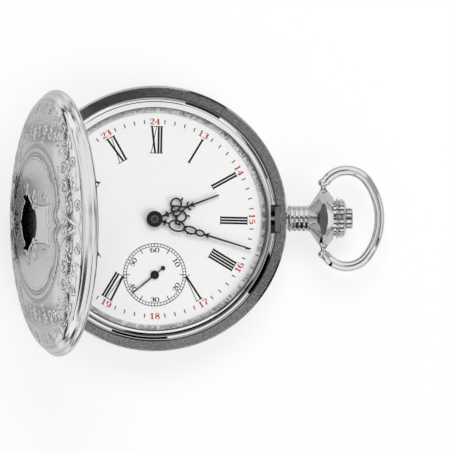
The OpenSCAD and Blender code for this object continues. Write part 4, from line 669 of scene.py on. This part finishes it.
def drawOrnament():
    o = Ornament()
    # shield: raised border with curled horns
    o.leaf(shieldLine, 0.20, "flat")
    o.cut(shieldLine * np.array([1.06, 1.05]) + np.array([0.1, 0]), 0.07)
    o.scroll(6.6, -2.75, 0.85, 200, 1, 1.3)
    # leaf sprays held in a round frame beside the shield
    o.leaf(curl(4.6, 1.6, 2.4, 1.6, -95, 0.55, 1), 0.15, "end")
    o.spray((3.9, -0.6), 62, 3.2, 6, 110, 0.34)
    o.spray((4.2, 6.9), 15, 2.3, 5, 120, 0.28)
    o.spray((5.4, -4.6), -25, 2.1, 4, 90, 0.22)
    # ogee field with its border lines and rope band
    o.leaf(fieldLine, 0.17, "flat")
    o.cut(fieldLine * 1.035, 0.17)
    for step, width in ((0.42, 0.13), (0.85, 0.15), (1.95, 0.15), (2.35, 0.11)):
        grown = fieldLine * (1 + step / fieldWide)
        o.cut(grown[: int(len(grown) * 0.93)], width)
    for i in range(78):
        t = i / 77
        spot = fieldLine[int(t * (len(fieldLine) - 1) * 0.93)]
        away = spot / np.linalg.norm(spot)
        along = np.array([-away[1], away[0]])
        mid = spot * (1 + 1.40 / fieldWide)
        o.leaf(bend(mid - away * 0.36 - along * 0.18, mid, mid + away * 0.36 + along * 0.18), 0.13)
    o.scroll(2.5, -11.75, 0.62, 250, -1, 1.2)
    # palmette below the shield
    o.mirror = False
    o.spray((0, -12.3), 90, 3.3, 9, 200, 0.26)
    o.spray((0, -12.6), -90, 2.5, 7, 150, 0.22)
    o.mirror = True
    # volutes that meet at the bottom, with ribs in their backs
    o.leaf(bend((1.1, -14.6), (1.8, -15.7), (2.3, -16.1)), 0.20, "flat")
    o.scroll(2.5, -17.3, 1.35, 95, -1, 1.6)
    o.leaf(bend((1.1, -18.6), (0.45, -17.2), (0.55, -15.9), (1.6, -14.6), (4.2, -13.6), (7.2, -13.4), (9.4, -12.6)),
           0.17, "flat")
    for i in range(9):
        a = 20 + i * 13
        o.cut(bend(polar(1.7, a) + (2.5, -17.3), polar(2.9, a - 8) + (2.6, -17.0), polar(3.9, a - 14) + (2.9, -17.0)),
              0.08, "end")
    o.lobe((0.25, -18.4), (0.9, -20.3), 0.24, 0.3)
    o.mirror = False
    o.lobe((0, -18.2), (0, -20.9), 0.26, 0.0)
    o.mirror = True
    # lower side scrolls
    o.scroll(12.3, -11.3, 1.25, 180, -1)
    o.scroll(10.9, -15.0, 1.15, 40, 1)
    o.scroll(7.6, -16.0, 1.2, 120, -1)
    o.spray((13.4, -9.4), -70, 2.4, 5, 110, 0.22)
    o.spray((9.2, -13.4), -60, 2.0, 4, 100, 0.2)
    o.leaf(bend((14.2, -6.2), (14.6, -8.6), (13.7, -10.4)), 0.16)
    # branches of flowers at both sides
    for at, size in (((16.9, 3.9), 1.15), ((16.3, -1.9), 1.25), ((15.9, 8.9), 0.95), ((15.3, -7.0), 0.95),
                     ((16.1, 1.0), 0.75), ((13.4, 12.4), 0.9)):
        o.flower(at, size)
    for a, b in (((16.5, 5.9), (15.6, 7.8)), ((17.4, 6.3), (17.3, 8.2)), ((15.7, -3.4), (15.2, -5.2)),
                 ((17.0, -3.6), (16.9, -5.4)), ((15.1, 9.9), (14.3, 11.5)), ((16.3, 10.0), (15.0, 11.9)),
                 ((15.2, 2.4), (14.9, 4.4)), ((17.5, -0.4), (17.8, 1.8)), ((14.9, -0.6), (14.8, -2.4)),
                 ((14.7, -8.3), (14.0, -9.8)), ((16.1, -8.2), (15.9, -9.9))):
        o.lobe(a, b, 0.28, 0.25)
        o.lobe(b, a, 0.22, 0.25)
    # top: star leaf between two volutes
    o.mirror = False
    o.spray((0, 16.0), 90, 2.8, 5, 120, 0.24)
    o.spray((0, 16.0), -90, 2.6, 5, 130, 0.24)
    o.mirror = True
    o.leaf(bend((0.3, 20.4), (1.1, 18.2), (2.6, 15.4), (5.3, 13.6), (8.3, 13.2), (10.6, 12.2)), 0.17, "flat")
    o.scroll(3.4, 18.0, 1.25, -60, 1, 1.6)
    o.scroll(7.0, 15.6, 1.2, -80, 1)
    o.scroll(10.3, 14.6, 1.0, -60, 1)
    o.spray((5.0, 16.4), 60, 2.3, 4, 90, 0.22)
    o.spray((8.7, 16.3), 20, 1.9, 4, 90, 0.2)
    # scalloped edge between the inner work and the border
    for i in range(52):
        a = 90 - (i + 0.5) * 180 / 52
        mid = polar(18.15 + 1.1 * abs(math.sin(math.radians(a))), a)
        o.leaf(ringLine(0.52, a - 70, a + 70, mid), 0.13)
    # border: running tendrils with leaves
    for i in range(8):
        a = 90 - 11.25 - i * 22.5
        c = polar(20.75, a)
        o.scroll(c[0], c[1], 0.95, a + 90, -1)
        o.leaf(bend(polar(21.6, a + 2.5), polar(21.5, a + 8), polar(20.5, a + 12), polar(19.75, a + 17)), 0.13)
        o.spray(polar(20.0, a + 10.5), a + 20, 1.7, 4, 120, 0.18)
        o.spray(polar(21.4, a - 6.5), a - 110, 1.5, 3, 90, 0.15)
    o.cut(ringLine(22.15, -90, 90), 0.08)
    o.cut(ringLine(22.45, -90, 90), 0.05)
    return o


def nearness(spots, lines):  # distance to the nearest line sample, and that sample's half width
    samples = np.concatenate(lines)
    tree = kdtree.KDTree(len(samples))
    for i, s in enumerate(samples):
        tree.insert((s[0], s[1], 0), i)
    tree.balance()
    away = np.empty(len(spots))
    width = np.empty(len(spots))
    for i, (p, q) in enumerate(spots):
        near, index, distance = tree.find((p, q, 0))
        away[i] = distance
        width[i] = samples[index, 2]
    return away, width


def inside(line, spots):  # share 1 inside a right-half outline and its mirror image, 0 outside
    p, q = np.abs(spots[:, 0]), spots[:, 1]
    hit = np.zeros(len(spots), bool)
    for (x0, y0), (x1, y1) in zip(line[:-1], line[1:]):
        cross = (y0 > q) != (y1 > q)
        with np.errstate(divide="ignore", invalid="ignore"):
            at = x0 + (q - y0) * (x1 - x0) / (y1 - y0)
        hit ^= cross & (p < at)
    return hit


def chartRelief(spots):
    c = coverRelief
    art = drawOrnament()
    leafAway, leafWidth = nearness(spots, art.leaves)
    cutAway, cutWidth = nearness(spots, art.cuts)
    reach = np.linalg.norm(spots, axis=1)
    shield = inside(shieldLine, spots)
    field = inside(fieldLine, spots) & ~shield
    worked = np.clip((c["workEdge"] - reach) / c["fade"], 0, 1)
    ridge = np.sqrt(np.clip(1 - (leafAway / (leafWidth * c["leafSpread"])) ** 2, 0, 1))
    raised = ridge * np.clip(leafWidth / 0.30, 0.45, 1.0)
    groove = np.clip(1 - cutAway / (cutWidth * c["cutSpread"]), 0, 1)
    foot = np.clip(1 - np.abs(leafAway - leafWidth * c["footShadeAt"]) / c["footShadeWide"], 0, 1)  # painted shade where a leaf meets the ground
    height = -c["groundDepth"] * worked * (1 - shield) + c["ridge"] * raised * worked - c["cutDepth"] * groove
    height = np.where(reach < c["workEdge"], height, -c["cutDepth"] * groove)
    height -= (c["lift"] + c["tuck"]) * np.clip((reach - c["edge"]) / c["fade"] + 1, 0, 1) ** 2
    # painted shadow: the cut mark darkens the engraved lines and the feet of the leaves
    cut = np.clip(groove * 0.9 + foot * 0.55 * worked * (1 - shield), 0, 1)
    petals = np.exp(-(((np.abs(spots[:, 0]) - c["petalsAt"]) / c["petalsWide"]) ** 4))
    petals = petals * (np.abs(spots[:, 1]) < c["petalsHigh"])
    ground = worked * (1 - shield) * (1 - np.clip(ridge * 3, 0, 1)) * (0.35 + 0.65 * petals) * (1 - field)
    return height, {"cut": cut, "field": field.astype(float) * (1 - np.clip(ridge * 3, 0, 1)),
                    "ground": ground, "plain": shield.astype(float)}


def domeAt(r):  # height over the parting plane and slope of the cover's dome
    c = coverRelief
    k = np.clip(1 - (r / c["domeEdge"]) ** 2, 1e-6, 1)
    full = c["domeRise"] / (1 - (c["flat"] / c["domeEdge"]) ** 2) ** (1 / c["domePower"])
    rise = c["bead"] + np.minimum(c["domeRise"], full * k ** (1 / c["domePower"]))
    slope = full / c["domePower"] * k ** (1 / c["domePower"] - 1) * (-2 * r / c["domeEdge"] ** 2)
    return rise, slope * (r > c["flat"])


reliefCache = []  # height and marks of the ornament, the same on both covers


def engravedFace(name, side):
    c = coverRelief
    clearPick()
    bpy.ops.mesh.primitive_grid_add(x_subdivisions=c["cells"], y_subdivisions=c["cells"], size=2.0, calc_uvs=False)
    piece = addedPiece(name)
    grid = np.empty(len(piece.data.vertices) * 3)
    piece.data.vertices.foreach_get("co", grid)
    a, b = grid[::3], grid[1::3]
    wide = np.abs(a) > np.abs(b)
    with np.errstate(divide="ignore", invalid="ignore"):
        turn = np.where(wide, math.pi / 4 * b / a, math.pi / 2 - math.pi / 4 * a / b)
    turn = np.nan_to_num(turn)
    radius = np.where(wide, a, b) * c["edge"]
    spots = np.column_stack([radius * np.cos(turn), radius * np.sin(turn)])  # chart: right, towards the pendant
    if not reliefCache:
        reliefCache.extend(chartRelief(spots))
    height, marks = reliefCache
    p, q = spots[:, 0], spots[:, 1]
    reach = np.hypot(p, q)
    rise, slope = domeAt(reach)
    steep = np.sqrt(1 + slope ** 2)
    out = (c["lift"] + height) / steep
    unit = np.where(reach > 1e-6, 1 / np.maximum(reach, 1e-6), 0)
    grow = 1 + (-slope) * out * unit
    p2, q2, z2 = p * grow, q * grow, rise + out
    if side == "front":
        x, y, z = q2, -p2, c["frontParting"] + z2
        dx, dz = x - c["hingeX"], z - c["hingeZ"]
        t = math.radians(c["openAngle"])
        x = c["hingeX"] + dx * math.cos(t) - dz * math.sin(t)
        z = c["hingeZ"] + dx * math.sin(t) + dz * math.cos(t)
    else:
        x, y, z = q2, p2, c["backParting"] - z2
    piece.data.vertices.foreach_set("co", (np.column_stack([x, y, z]) * mm).ravel())
    piece.data.update()
    for key, value in marks.items():
        layer = piece.data.attributes.new(key, "FLOAT", "POINT")
        layer.data.foreach_set("value", value.astype(np.float32))
    chart = piece.data.uv_layers.new(name="chart")
    corner = np.empty(len(piece.data.loops), np.int32)
    piece.data.loops.foreach_get("vertex_index", corner)
    chart.data.foreach_set("uv", (spots[corner] / chartSize).astype(np.float32).ravel())
    pickOnly(piece)
    outward = Vector((-0.96, 0, 0.28)) if side == "front" else Vector((0, 0, -1))
    middle = piece.data.polygons[len(piece.data.polygons) // 2]
    if middle.normal.dot(outward) < 0:
        with editing():
            bpy.ops.mesh.flip_normals()
    return piece


engraved = engravedSilver()
fit(engravedFace("frontCoverEngraving", "front"), "front_cover", engraved)
fit(engravedFace("backCoverEngraving", "back"), "back_cover", engraved)
print("covers engraved")


# Dial printing

dialPrint = {
    "top": 9.35, "inkLift": 0.012,  # enamel face and the print's stand over it, mm
    "numeralIn": 11.85, "numeralOut": 16.8,  # Roman numerals
    "barWide": 0.35, "barGap": 0.15, "hairline": 0.12, "crossWide": 1.15, "serif": 0.13, "numeralTurn": 1.2,
    "crossInset": 0.06, "hairInset": 0.12,   # from a figure's width to its bars and hairlines
    "tickIn": 17.22, "tickOut": 18.0, "tickWide": 0.055, "tickSwell": 0.035,
    "secondsIn": 5.13, "secondsOut": 5.66, "fiveIn": 0.75, "quarterIn": 0.63, "quarterOut": 0.09,
}
hourFigures = {"reach": 17.62, "high": 1.05, "stretch": 1.42, "weight": 1.35}  # red hours 13 to 24
secondsFigures = {"reach": 4.5, "high": 0.84, "stretch": 1.5, "weight": 1.3}
romans = {12: "XII", 1: "I", 2: "II", 3: "III", 4: "IIII", 5: "V", 7: "VII", 8: "VIII", 9: "IX", 10: "X", 11: "XI"}
thick, thin = 0.098, 0.034
full, soft, half = thick * .8, thick * .7, thick * .6
penStrokes = {  # centre line and half width of each digit's strokes, in a box one high
    "0": [[(.30, 1, thin), (.10, .82, full), (.05, .5, thick), (.10, .18, full), (.30, 0, thin),
           (.50, .18, full), (.55, .5, thick), (.50, .82, full), (.30, 1, thin)]],
    "1": [[(.32, 0, thick), (.32, 1, thick)], [(.12, .80, thin), (.32, .97, .06)],
          [(.12, .02, thin), (.52, .02, thin)]],
    "2": [[(.12, .74, .09), (.13, .76, .07), (.14, .93, thin), (.32, 1, thin), (.49, .88, thick), (.50, .68, thick),
           (.34, .40, thin * 1.5), (.08, .06, thin)],
          [(.08, .06, thin), (.28, .10, .06), (.48, .03, .06), (.56, .24, thin)]],
    "3": [[(.10, .80, .08), (.16, .96, thin), (.32, 1, thin), (.47, .88, thick), (.46, .66, thick), (.28, .54, thin)],
          [(.28, .54, thin), (.48, .44, thick), (.52, .24, thick), (.38, .03, thin), (.20, .01, thin),
           (.08, .18, .08)]],
    "4": [[(.42, .98, thin), (.02, .30, thin)], [(.02, .30, thin), (.60, .30, thin)],
          [(.42, .98, thick), (.42, 0, thick)], [(.26, .02, thin), (.58, .02, thin)]],
    "5": [[(.12, .94, .06), (.50, .94, .055)], [(.12, .96, thin), (.10, .52, thin)],
          [(.10, .52, thin), (.30, .62, thin * 1.4), (.50, .48, thick), (.52, .24, thick), (.36, .02, thin),
           (.18, .02, thin), (.08, .18, .08)]],
    "6": [[(.48, .86, .07), (.42, .98, thin), (.28, .97, thin), (.10, .72, thick), (.06, .38, thick),
           (.16, .06, soft), (.30, 0, thin), (.48, .10, full), (.53, .30, thick), (.46, .52, soft), (.30, .58, thin),
           (.12, .44, thin)]],
    "7": [[(.06, .76, thin), (.08, .95, .05), (.56, .95, .05)],
          [(.56, .95, thin), (.36, .55, full), (.27, .28, thick), (.26, 0, thick)]],
    "8": [[(.30, .54, half), (.12, .70, soft), (.14, .92, thin * 1.6), (.30, 1, thin), (.46, .92, thin * 1.6),
           (.46, .70, thick * .5), (.30, .54, thick), (.10, .36, full), (.08, .12, half), (.30, 0, thin),
           (.52, .12, half), (.50, .36, full), (.30, .54, half)]],
    "9": [[(.12, .14, .07), (.18, .02, thin), (.32, .03, thin), (.50, .28, thick), (.54, .62, thick),
           (.44, .94, soft), (.30, 1, thin), (.12, .90, full), (.07, .70, thick), (.14, .48, soft), (.30, .42, thin),
           (.48, .56, thin)]],
}


class InkSheet:  # flat strokes of printed colour
    def __init__(self):
        self.verts = []
        self.faces = []

    def stroke(self, line, widths, place):
        line = np.asarray(line, float)
        way = np.gradient(line, axis=0)
        way /= np.maximum(np.linalg.norm(way, axis=1), 1e-9)[:, None]
        side = np.column_stack([-way[:, 1], way[:, 0]]) * np.asarray(widths, float)[:, None]
        first = len(self.verts)
        for left, right in zip(line + side, line - side):
            self.verts += [place(left), place(right)]
        self.faces += [(k, k + 1, k + 3, k + 2) for k in range(first, len(self.verts) - 2, 2)]

    def shape(self, outline, place):
        first = len(self.verts)
        self.verts += [place(p) for p in outline]
        self.faces.append(tuple(range(first, first + len(outline))))

    def digits(self, number, figures, place):  # centred figures, place gets (across, up) in mm
        text, high = str(number), figures["high"]
        size = np.array([high * figures["stretch"], high])
        for i, digit in enumerate(text):
            shift = (i - (len(text) - 1) / 2) * 0.66 * size[0] - 0.30 * size[0]
            for path in penStrokes[digit]:
                smooth = np.array(path) if len(path) == 2 else bend(*path, steps=5)
                self.stroke(smooth[:, :2] * size + (shift, -high / 2), smooth[:, 2] * high * figures["weight"], place)

    def piece(self, name, finish):
        mesh = bpy.data.meshes.new(name)
        mesh.from_pydata([Vector(v) * mm for v in self.verts], [], self.faces)
        made = bpy.data.objects.new(name, mesh)
        bpy.context.scene.collection.objects.link(made)
        for p in mesh.polygons:
            if p.normal.z < 0:
                p.flip()
        return fit(made, "case", finish)


def onDial(angle, reach=0.0, lift=1.0, centre=(0, 0), head=1):  # print stands outwards, or inwards with head -1
    z = dialPrint["top"] + dialPrint["inkLift"] * lift
    out = polar(1, 90 - angle)
    along = np.array([out[1], -out[0]])
    return lambda p: tuple(np.array(centre) + out * (reach + p[1] * head) + along * p[0] * head) + (z,)


def romanNumeral(ink, text, angle):
    d = dialPrint
    low, high, hair, bar = d["numeralIn"], d["numeralOut"], d["hairline"], d["barWide"] * 1.02
    thickIn, hairIn = d["crossInset"], d["hairInset"]
    widths = {"I": d["barWide"], "V": d["crossWide"], "X": d["crossWide"]}
    total = sum(widths[t] for t in text) + d["barGap"] * (len(text) - 1)
    at = -total / 2
    place = onDial(angle)

    def slant(foot, footShadeWide, top, topWide, where=place):
        ink.shape([(foot, low), (foot + footShadeWide, low), (top + topWide, high), (top, high)], where)

    for t in text:
        w = widths[t]
        end = at + w
        if t == "I":
            slant(at, w, at, w)
        elif t == "V":
            mid = at + w * 0.52
            slant(mid - bar / 2, bar, at + thickIn, bar)
            slant(mid + bar / 2 - hair, hair, end - hairIn, hair)
        else:
            slant(end - thickIn - bar, bar, at + thickIn, bar)
            slant(at + hairIn, hair, end - hairIn, hair, onDial(angle, lift=1.3))
        at = end + d["barGap"]
    reach = total / 2 + d["serif"]
    for level in (low, high - hair):
        ink.shape([(-reach, level), (reach, level), (reach, level + hair), (-reach, level + hair)],
                  onDial(angle, lift=1.6))


def printDial():
    d = dialPrint
    black, red = InkSheet(), InkSheet()
    for hour, text in romans.items():
        romanNumeral(black, text, hour * 30 + d["numeralTurn"])
    a, b = d["tickIn"], d["tickOut"]
    tick = bend((-0.07, a + 0.04), (0.05, a + 0.2), (-0.04, b - 0.2), (0.07, b), steps=4)
    tickWide = d["tickWide"] + d["tickSwell"] * np.sin(math.pi * np.linspace(0, 1, len(tick)))
    for minute in range(60):
        if minute % 5:
            black.stroke(tick, tickWide, onDial(minute * 6))
    for hour in range(13, 25):
        head = -1 if 16 <= hour <= 20 else 1
        red.digits(hour, hourFigures, onDial((hour - 12) * 30, hourFigures["reach"], head=head))
    centre = (0, secondsY)
    for radius, width in ((d["secondsIn"], 0.05), (d["secondsOut"], 0.06)):
        line = ringLine(radius)
        black.stroke(line, [width] * len(line), onDial(0, centre=centre))
    for second in range(60):
        a, b = d["secondsIn"], d["secondsOut"]
        if second in (15, 45):
            a, b = a - d["quarterIn"], b + d["quarterOut"]
        elif second % 10 == 5:
            a -= d["fiveIn"]
        width = 0.07 if second % 5 == 0 else 0.05
        black.shape([(-width, a), (width, a), (width, b), (-width, b)], onDial(second * 6, lift=1.3, centre=centre))
    for second in range(10, 70, 10):
        head = -1 if 20 <= second <= 40 else 1
        black.digits(second, secondsFigures, onDial(second * 6, secondsFigures["reach"], 1.0, centre, head))
    black.piece("dialBlackPrint", inkFinish("black dial ink", grey(0.004, 0.005), grey(0.020, 0.021)))
    red.piece("dialRedPrint", inkFinish("red dial ink", (0.44, 0.055, 0.040), (0.55, 0.13, 0.10)))


printDial()
print("dial printed")


# Sleeve in the grooves of the pendant's neck

neckRope = {"start": 24.1, "end": 28.22, "radius": 2.17, "around": 180}  # mm along the stem


def neckSleeve():
    c = neckRope
    clearPick()
    bpy.ops.mesh.primitive_cylinder_add(
        vertices=c["around"], radius=c["radius"] * mm, depth=(c["end"] - c["start"]) * mm, end_fill_type="NOTHING",
        location=((c["start"] + c["end"]) / 2 * mm, 0, stemZ * mm), rotation=(0, math.pi / 2, 0))
    piece = addedPiece("neckRope")
    with editing():
        bpy.ops.mesh.normals_make_consistent(inside=False)
    return fit(piece, "case", finishOf["pendant"])


neckSleeve()
print("neck done")


# Floor, reflector cards, light and camera

studio = {
    "aim": (12.9, -1.3, 9.35), "distance": 3636.4, "tilt": 2.0, "lens": 1600.0,
    "sensor": 36.0, "clipStart": 0.01, "floorSize": 3.0, "floorZ": -0.00002, "worldLight": 0.40, "domeRadius": 0.9,
    "lamps": (("keyLight", (0.10, 0.50, 0.80), 0.5, 4.4), ("fillLight", (0.60, -0.30, 0.65), 0.6, 4.1)),
    "cards": (  # from and to azimuth, from and to height above the horizon, grey
        (74, 156, 66, 87, 0.0), (156, 434, 70, 76, 0.45), (196, 226, 4, 30, 0.02), (318, 332, -2, 14, 0.0),
        (333, 344, 10, 46, 0.0), (334, 400, 38, 68, 0.24), (20, 44, 5, 24, 0.03), (0, 360, 85.5, 90, 0.09),
        (0, 360, -3, 3, 0.05)),
    "nearCards": (  # radius from the hand axis, from and to azimuth, from and to height, in mm, grey
        (32, 322, 342, 2, 36, 0.0), (31, 249, 277, 9, 26, 0.0), (30, 58, 76, 1, 15, 0.02)),
    "floorCards": (  # inner and outer radius in m, grey
        # the innermost ring, next to the case, is a painted shadow: it stands in for the floor's contact shadow as
        # the metal sees it
        (0.110, 0.50, 1.2), (0.086, 0.110, 0.0), (0.0625, 0.086, 1.0), (0.0345, 0.0625, 0.66), (0.024, 0.0345, 0.55)),
    "floorPatches": (  # from and to across, from and to along, in m, grey
        (-0.046, -0.0332, -0.008, 0.008, 0.0), (-0.05, 0.06, -0.20, -0.10, 0.0), (-0.05, 0.06, 0.12, 0.20, 0.0),
        (0.09, 0.55, -0.50, 0.50, 0.02)),
    "patchZ": 0.0008, "floorCardZ": 0.0007, "floorCardStep": 0.0001,  # heights over the floor, m
}


def setFloor():
    clearPick()
    bpy.ops.mesh.primitive_plane_add(size=studio["floorSize"], location=(0, 0, studio["floorZ"]))
    floor = addedPiece("floor")
    f = Finish("pale floor")
    cloud = f.noise(f.place(), 0.004, 3)
    seen = f.add("LightPath")
    paper = f.add("BsdfDiffuse", None, {"Color": f.tint(cloud, grey(0.93), grey(0.91))})
    glow = f.add("Emission", None, {"Color": grey(1.0)})
    mixed = f.add("MixShader", None, {0: seen * 0.72, 1: paper, 2: glow})
    under = f.add("NewGeometry", out="Backfacing") * seen  # from below, the floor doesn't hide the back
    clear = f.add("BsdfTransparent")
    floor.data.materials.append(f.show(f.add("MixShader", None, {0: under, 1: mixed, 2: clear})))


def hangCard(name, tone):  # a card that only polished metal sees
    card = addedPiece(name)
    f = Finish(name)
    card.data.materials.append(f.show(f.add("Emission", None, {"Color": grey(tone)})))
    card.visible_camera = card.visible_diffuse = card.visible_shadow = card.visible_transmission = False
    return card


def cutCard(card, turn0, turn1, low, high):  # keeps the part between two azimuths and two heights above the horizon
    with editing("DESELECT"):
        pass
    for face in card.data.polygons:
        x, y, z = face.center
        turn = (math.degrees(math.atan2(y, x)) - turn0) % 360
        lift = math.degrees(math.atan2(z, math.hypot(x, y)))
        face.select = not (turn <= turn1 - turn0 and low <= lift <= high)
    with editing(None, "FACE"):
        bpy.ops.mesh.delete(type="FACE")


def setCards():
    for i, (turn0, turn1, low, high, tone) in enumerate(studio["cards"]):
        clearPick()
        bpy.ops.mesh.primitive_uv_sphere_add(segments=90, ring_count=60, radius=studio["domeRadius"])
        cutCard(hangCard("card%d" % i, tone), turn0, turn1, low, high)
    for i, (radius, turn0, turn1, low, high, tone) in enumerate(studio["nearCards"]):
        clearPick()
        bpy.ops.mesh.primitive_cylinder_add(vertices=120, radius=radius * mm, depth=(high - low) * mm,
                                            end_fill_type="NOTHING", location=(0, 0, (low + high) / 2 * mm))
        cutCard(hangCard("nearCard%d" % i, tone), turn0, turn1, -90, 90)
    for i, (inner, outer, tone) in enumerate(studio["floorCards"]):
        clearPick()
        bpy.ops.mesh.primitive_circle_add(vertices=64, radius=outer, fill_type="NGON",
                                          location=(0, 0, studio["floorCardZ"] - i * studio["floorCardStep"]))
        hangCard("floorCard%d" % i, tone)
        with editing(kind="FACE"):
            bpy.ops.mesh.inset(thickness=outer - inner)
            bpy.ops.mesh.delete(type="FACE")
    for i, (x0, x1, y0, y1, tone) in enumerate(studio["floorPatches"]):
        clearPick()
        bpy.ops.mesh.primitive_plane_add(size=1.0, location=((x0 + x1) / 2, (y0 + y1) / 2, studio["patchZ"]))
        bpy.context.active_object.scale = (x1 - x0, y1 - y0, 1)
        hangCard("floorPatch%d" % i, tone)


def setLight():  # white where the camera, glass or metal look, dimmer as light on the watch
    f = Finish("studio", world=True)
    camera, glossy, through = (f.add("LightPath", out="Is %s Ray" % kind)
                               for kind in ("Camera", "Glossy", "Transmission"))
    white, plain = (f.add("Background", None, {0: (1, 1, 1), 1: level})
                    for level in (1.0, studio["worldLight"]))
    seen = camera.calc("MAXIMUM", glossy).calc("MAXIMUM", through)
    bpy.context.scene.world = f.show(f.add("MixShader", None, {0: seen, 1: plain, 2: white}))
    for name, spot, size, power in studio["lamps"]:
        bpy.ops.object.light_add(type="AREA", location=spot)
        lamp = bpy.context.active_object
        lamp.name = name
        lamp.data.energy = power
        lamp.data.size = size
        lamp.visible_glossy = False
        lamp.rotation_euler = (Vector((0, 0, 0.01)) - Vector(spot)).to_track_quat("-Z", "Y").to_euler()


def setCamera():
    tilt = math.radians(studio["tilt"])
    back = Vector((0, math.sin(tilt), math.cos(tilt))) * studio["distance"] * mm
    bpy.ops.object.camera_add(location=Vector(studio["aim"]) * mm + back, rotation=(-tilt, 0, 0))
    camera = bpy.context.active_object
    camera.name = "camera"
    camera.data.lens = studio["lens"]
    camera.data.sensor_width = studio["sensor"]
    camera.data.clip_start = studio["clipStart"]
    bpy.context.scene.camera = camera


setFloor()
setCards()
setLight()
setCamera()
bpy.context.scene.view_settings.view_transform = "Standard"
print("studio set")
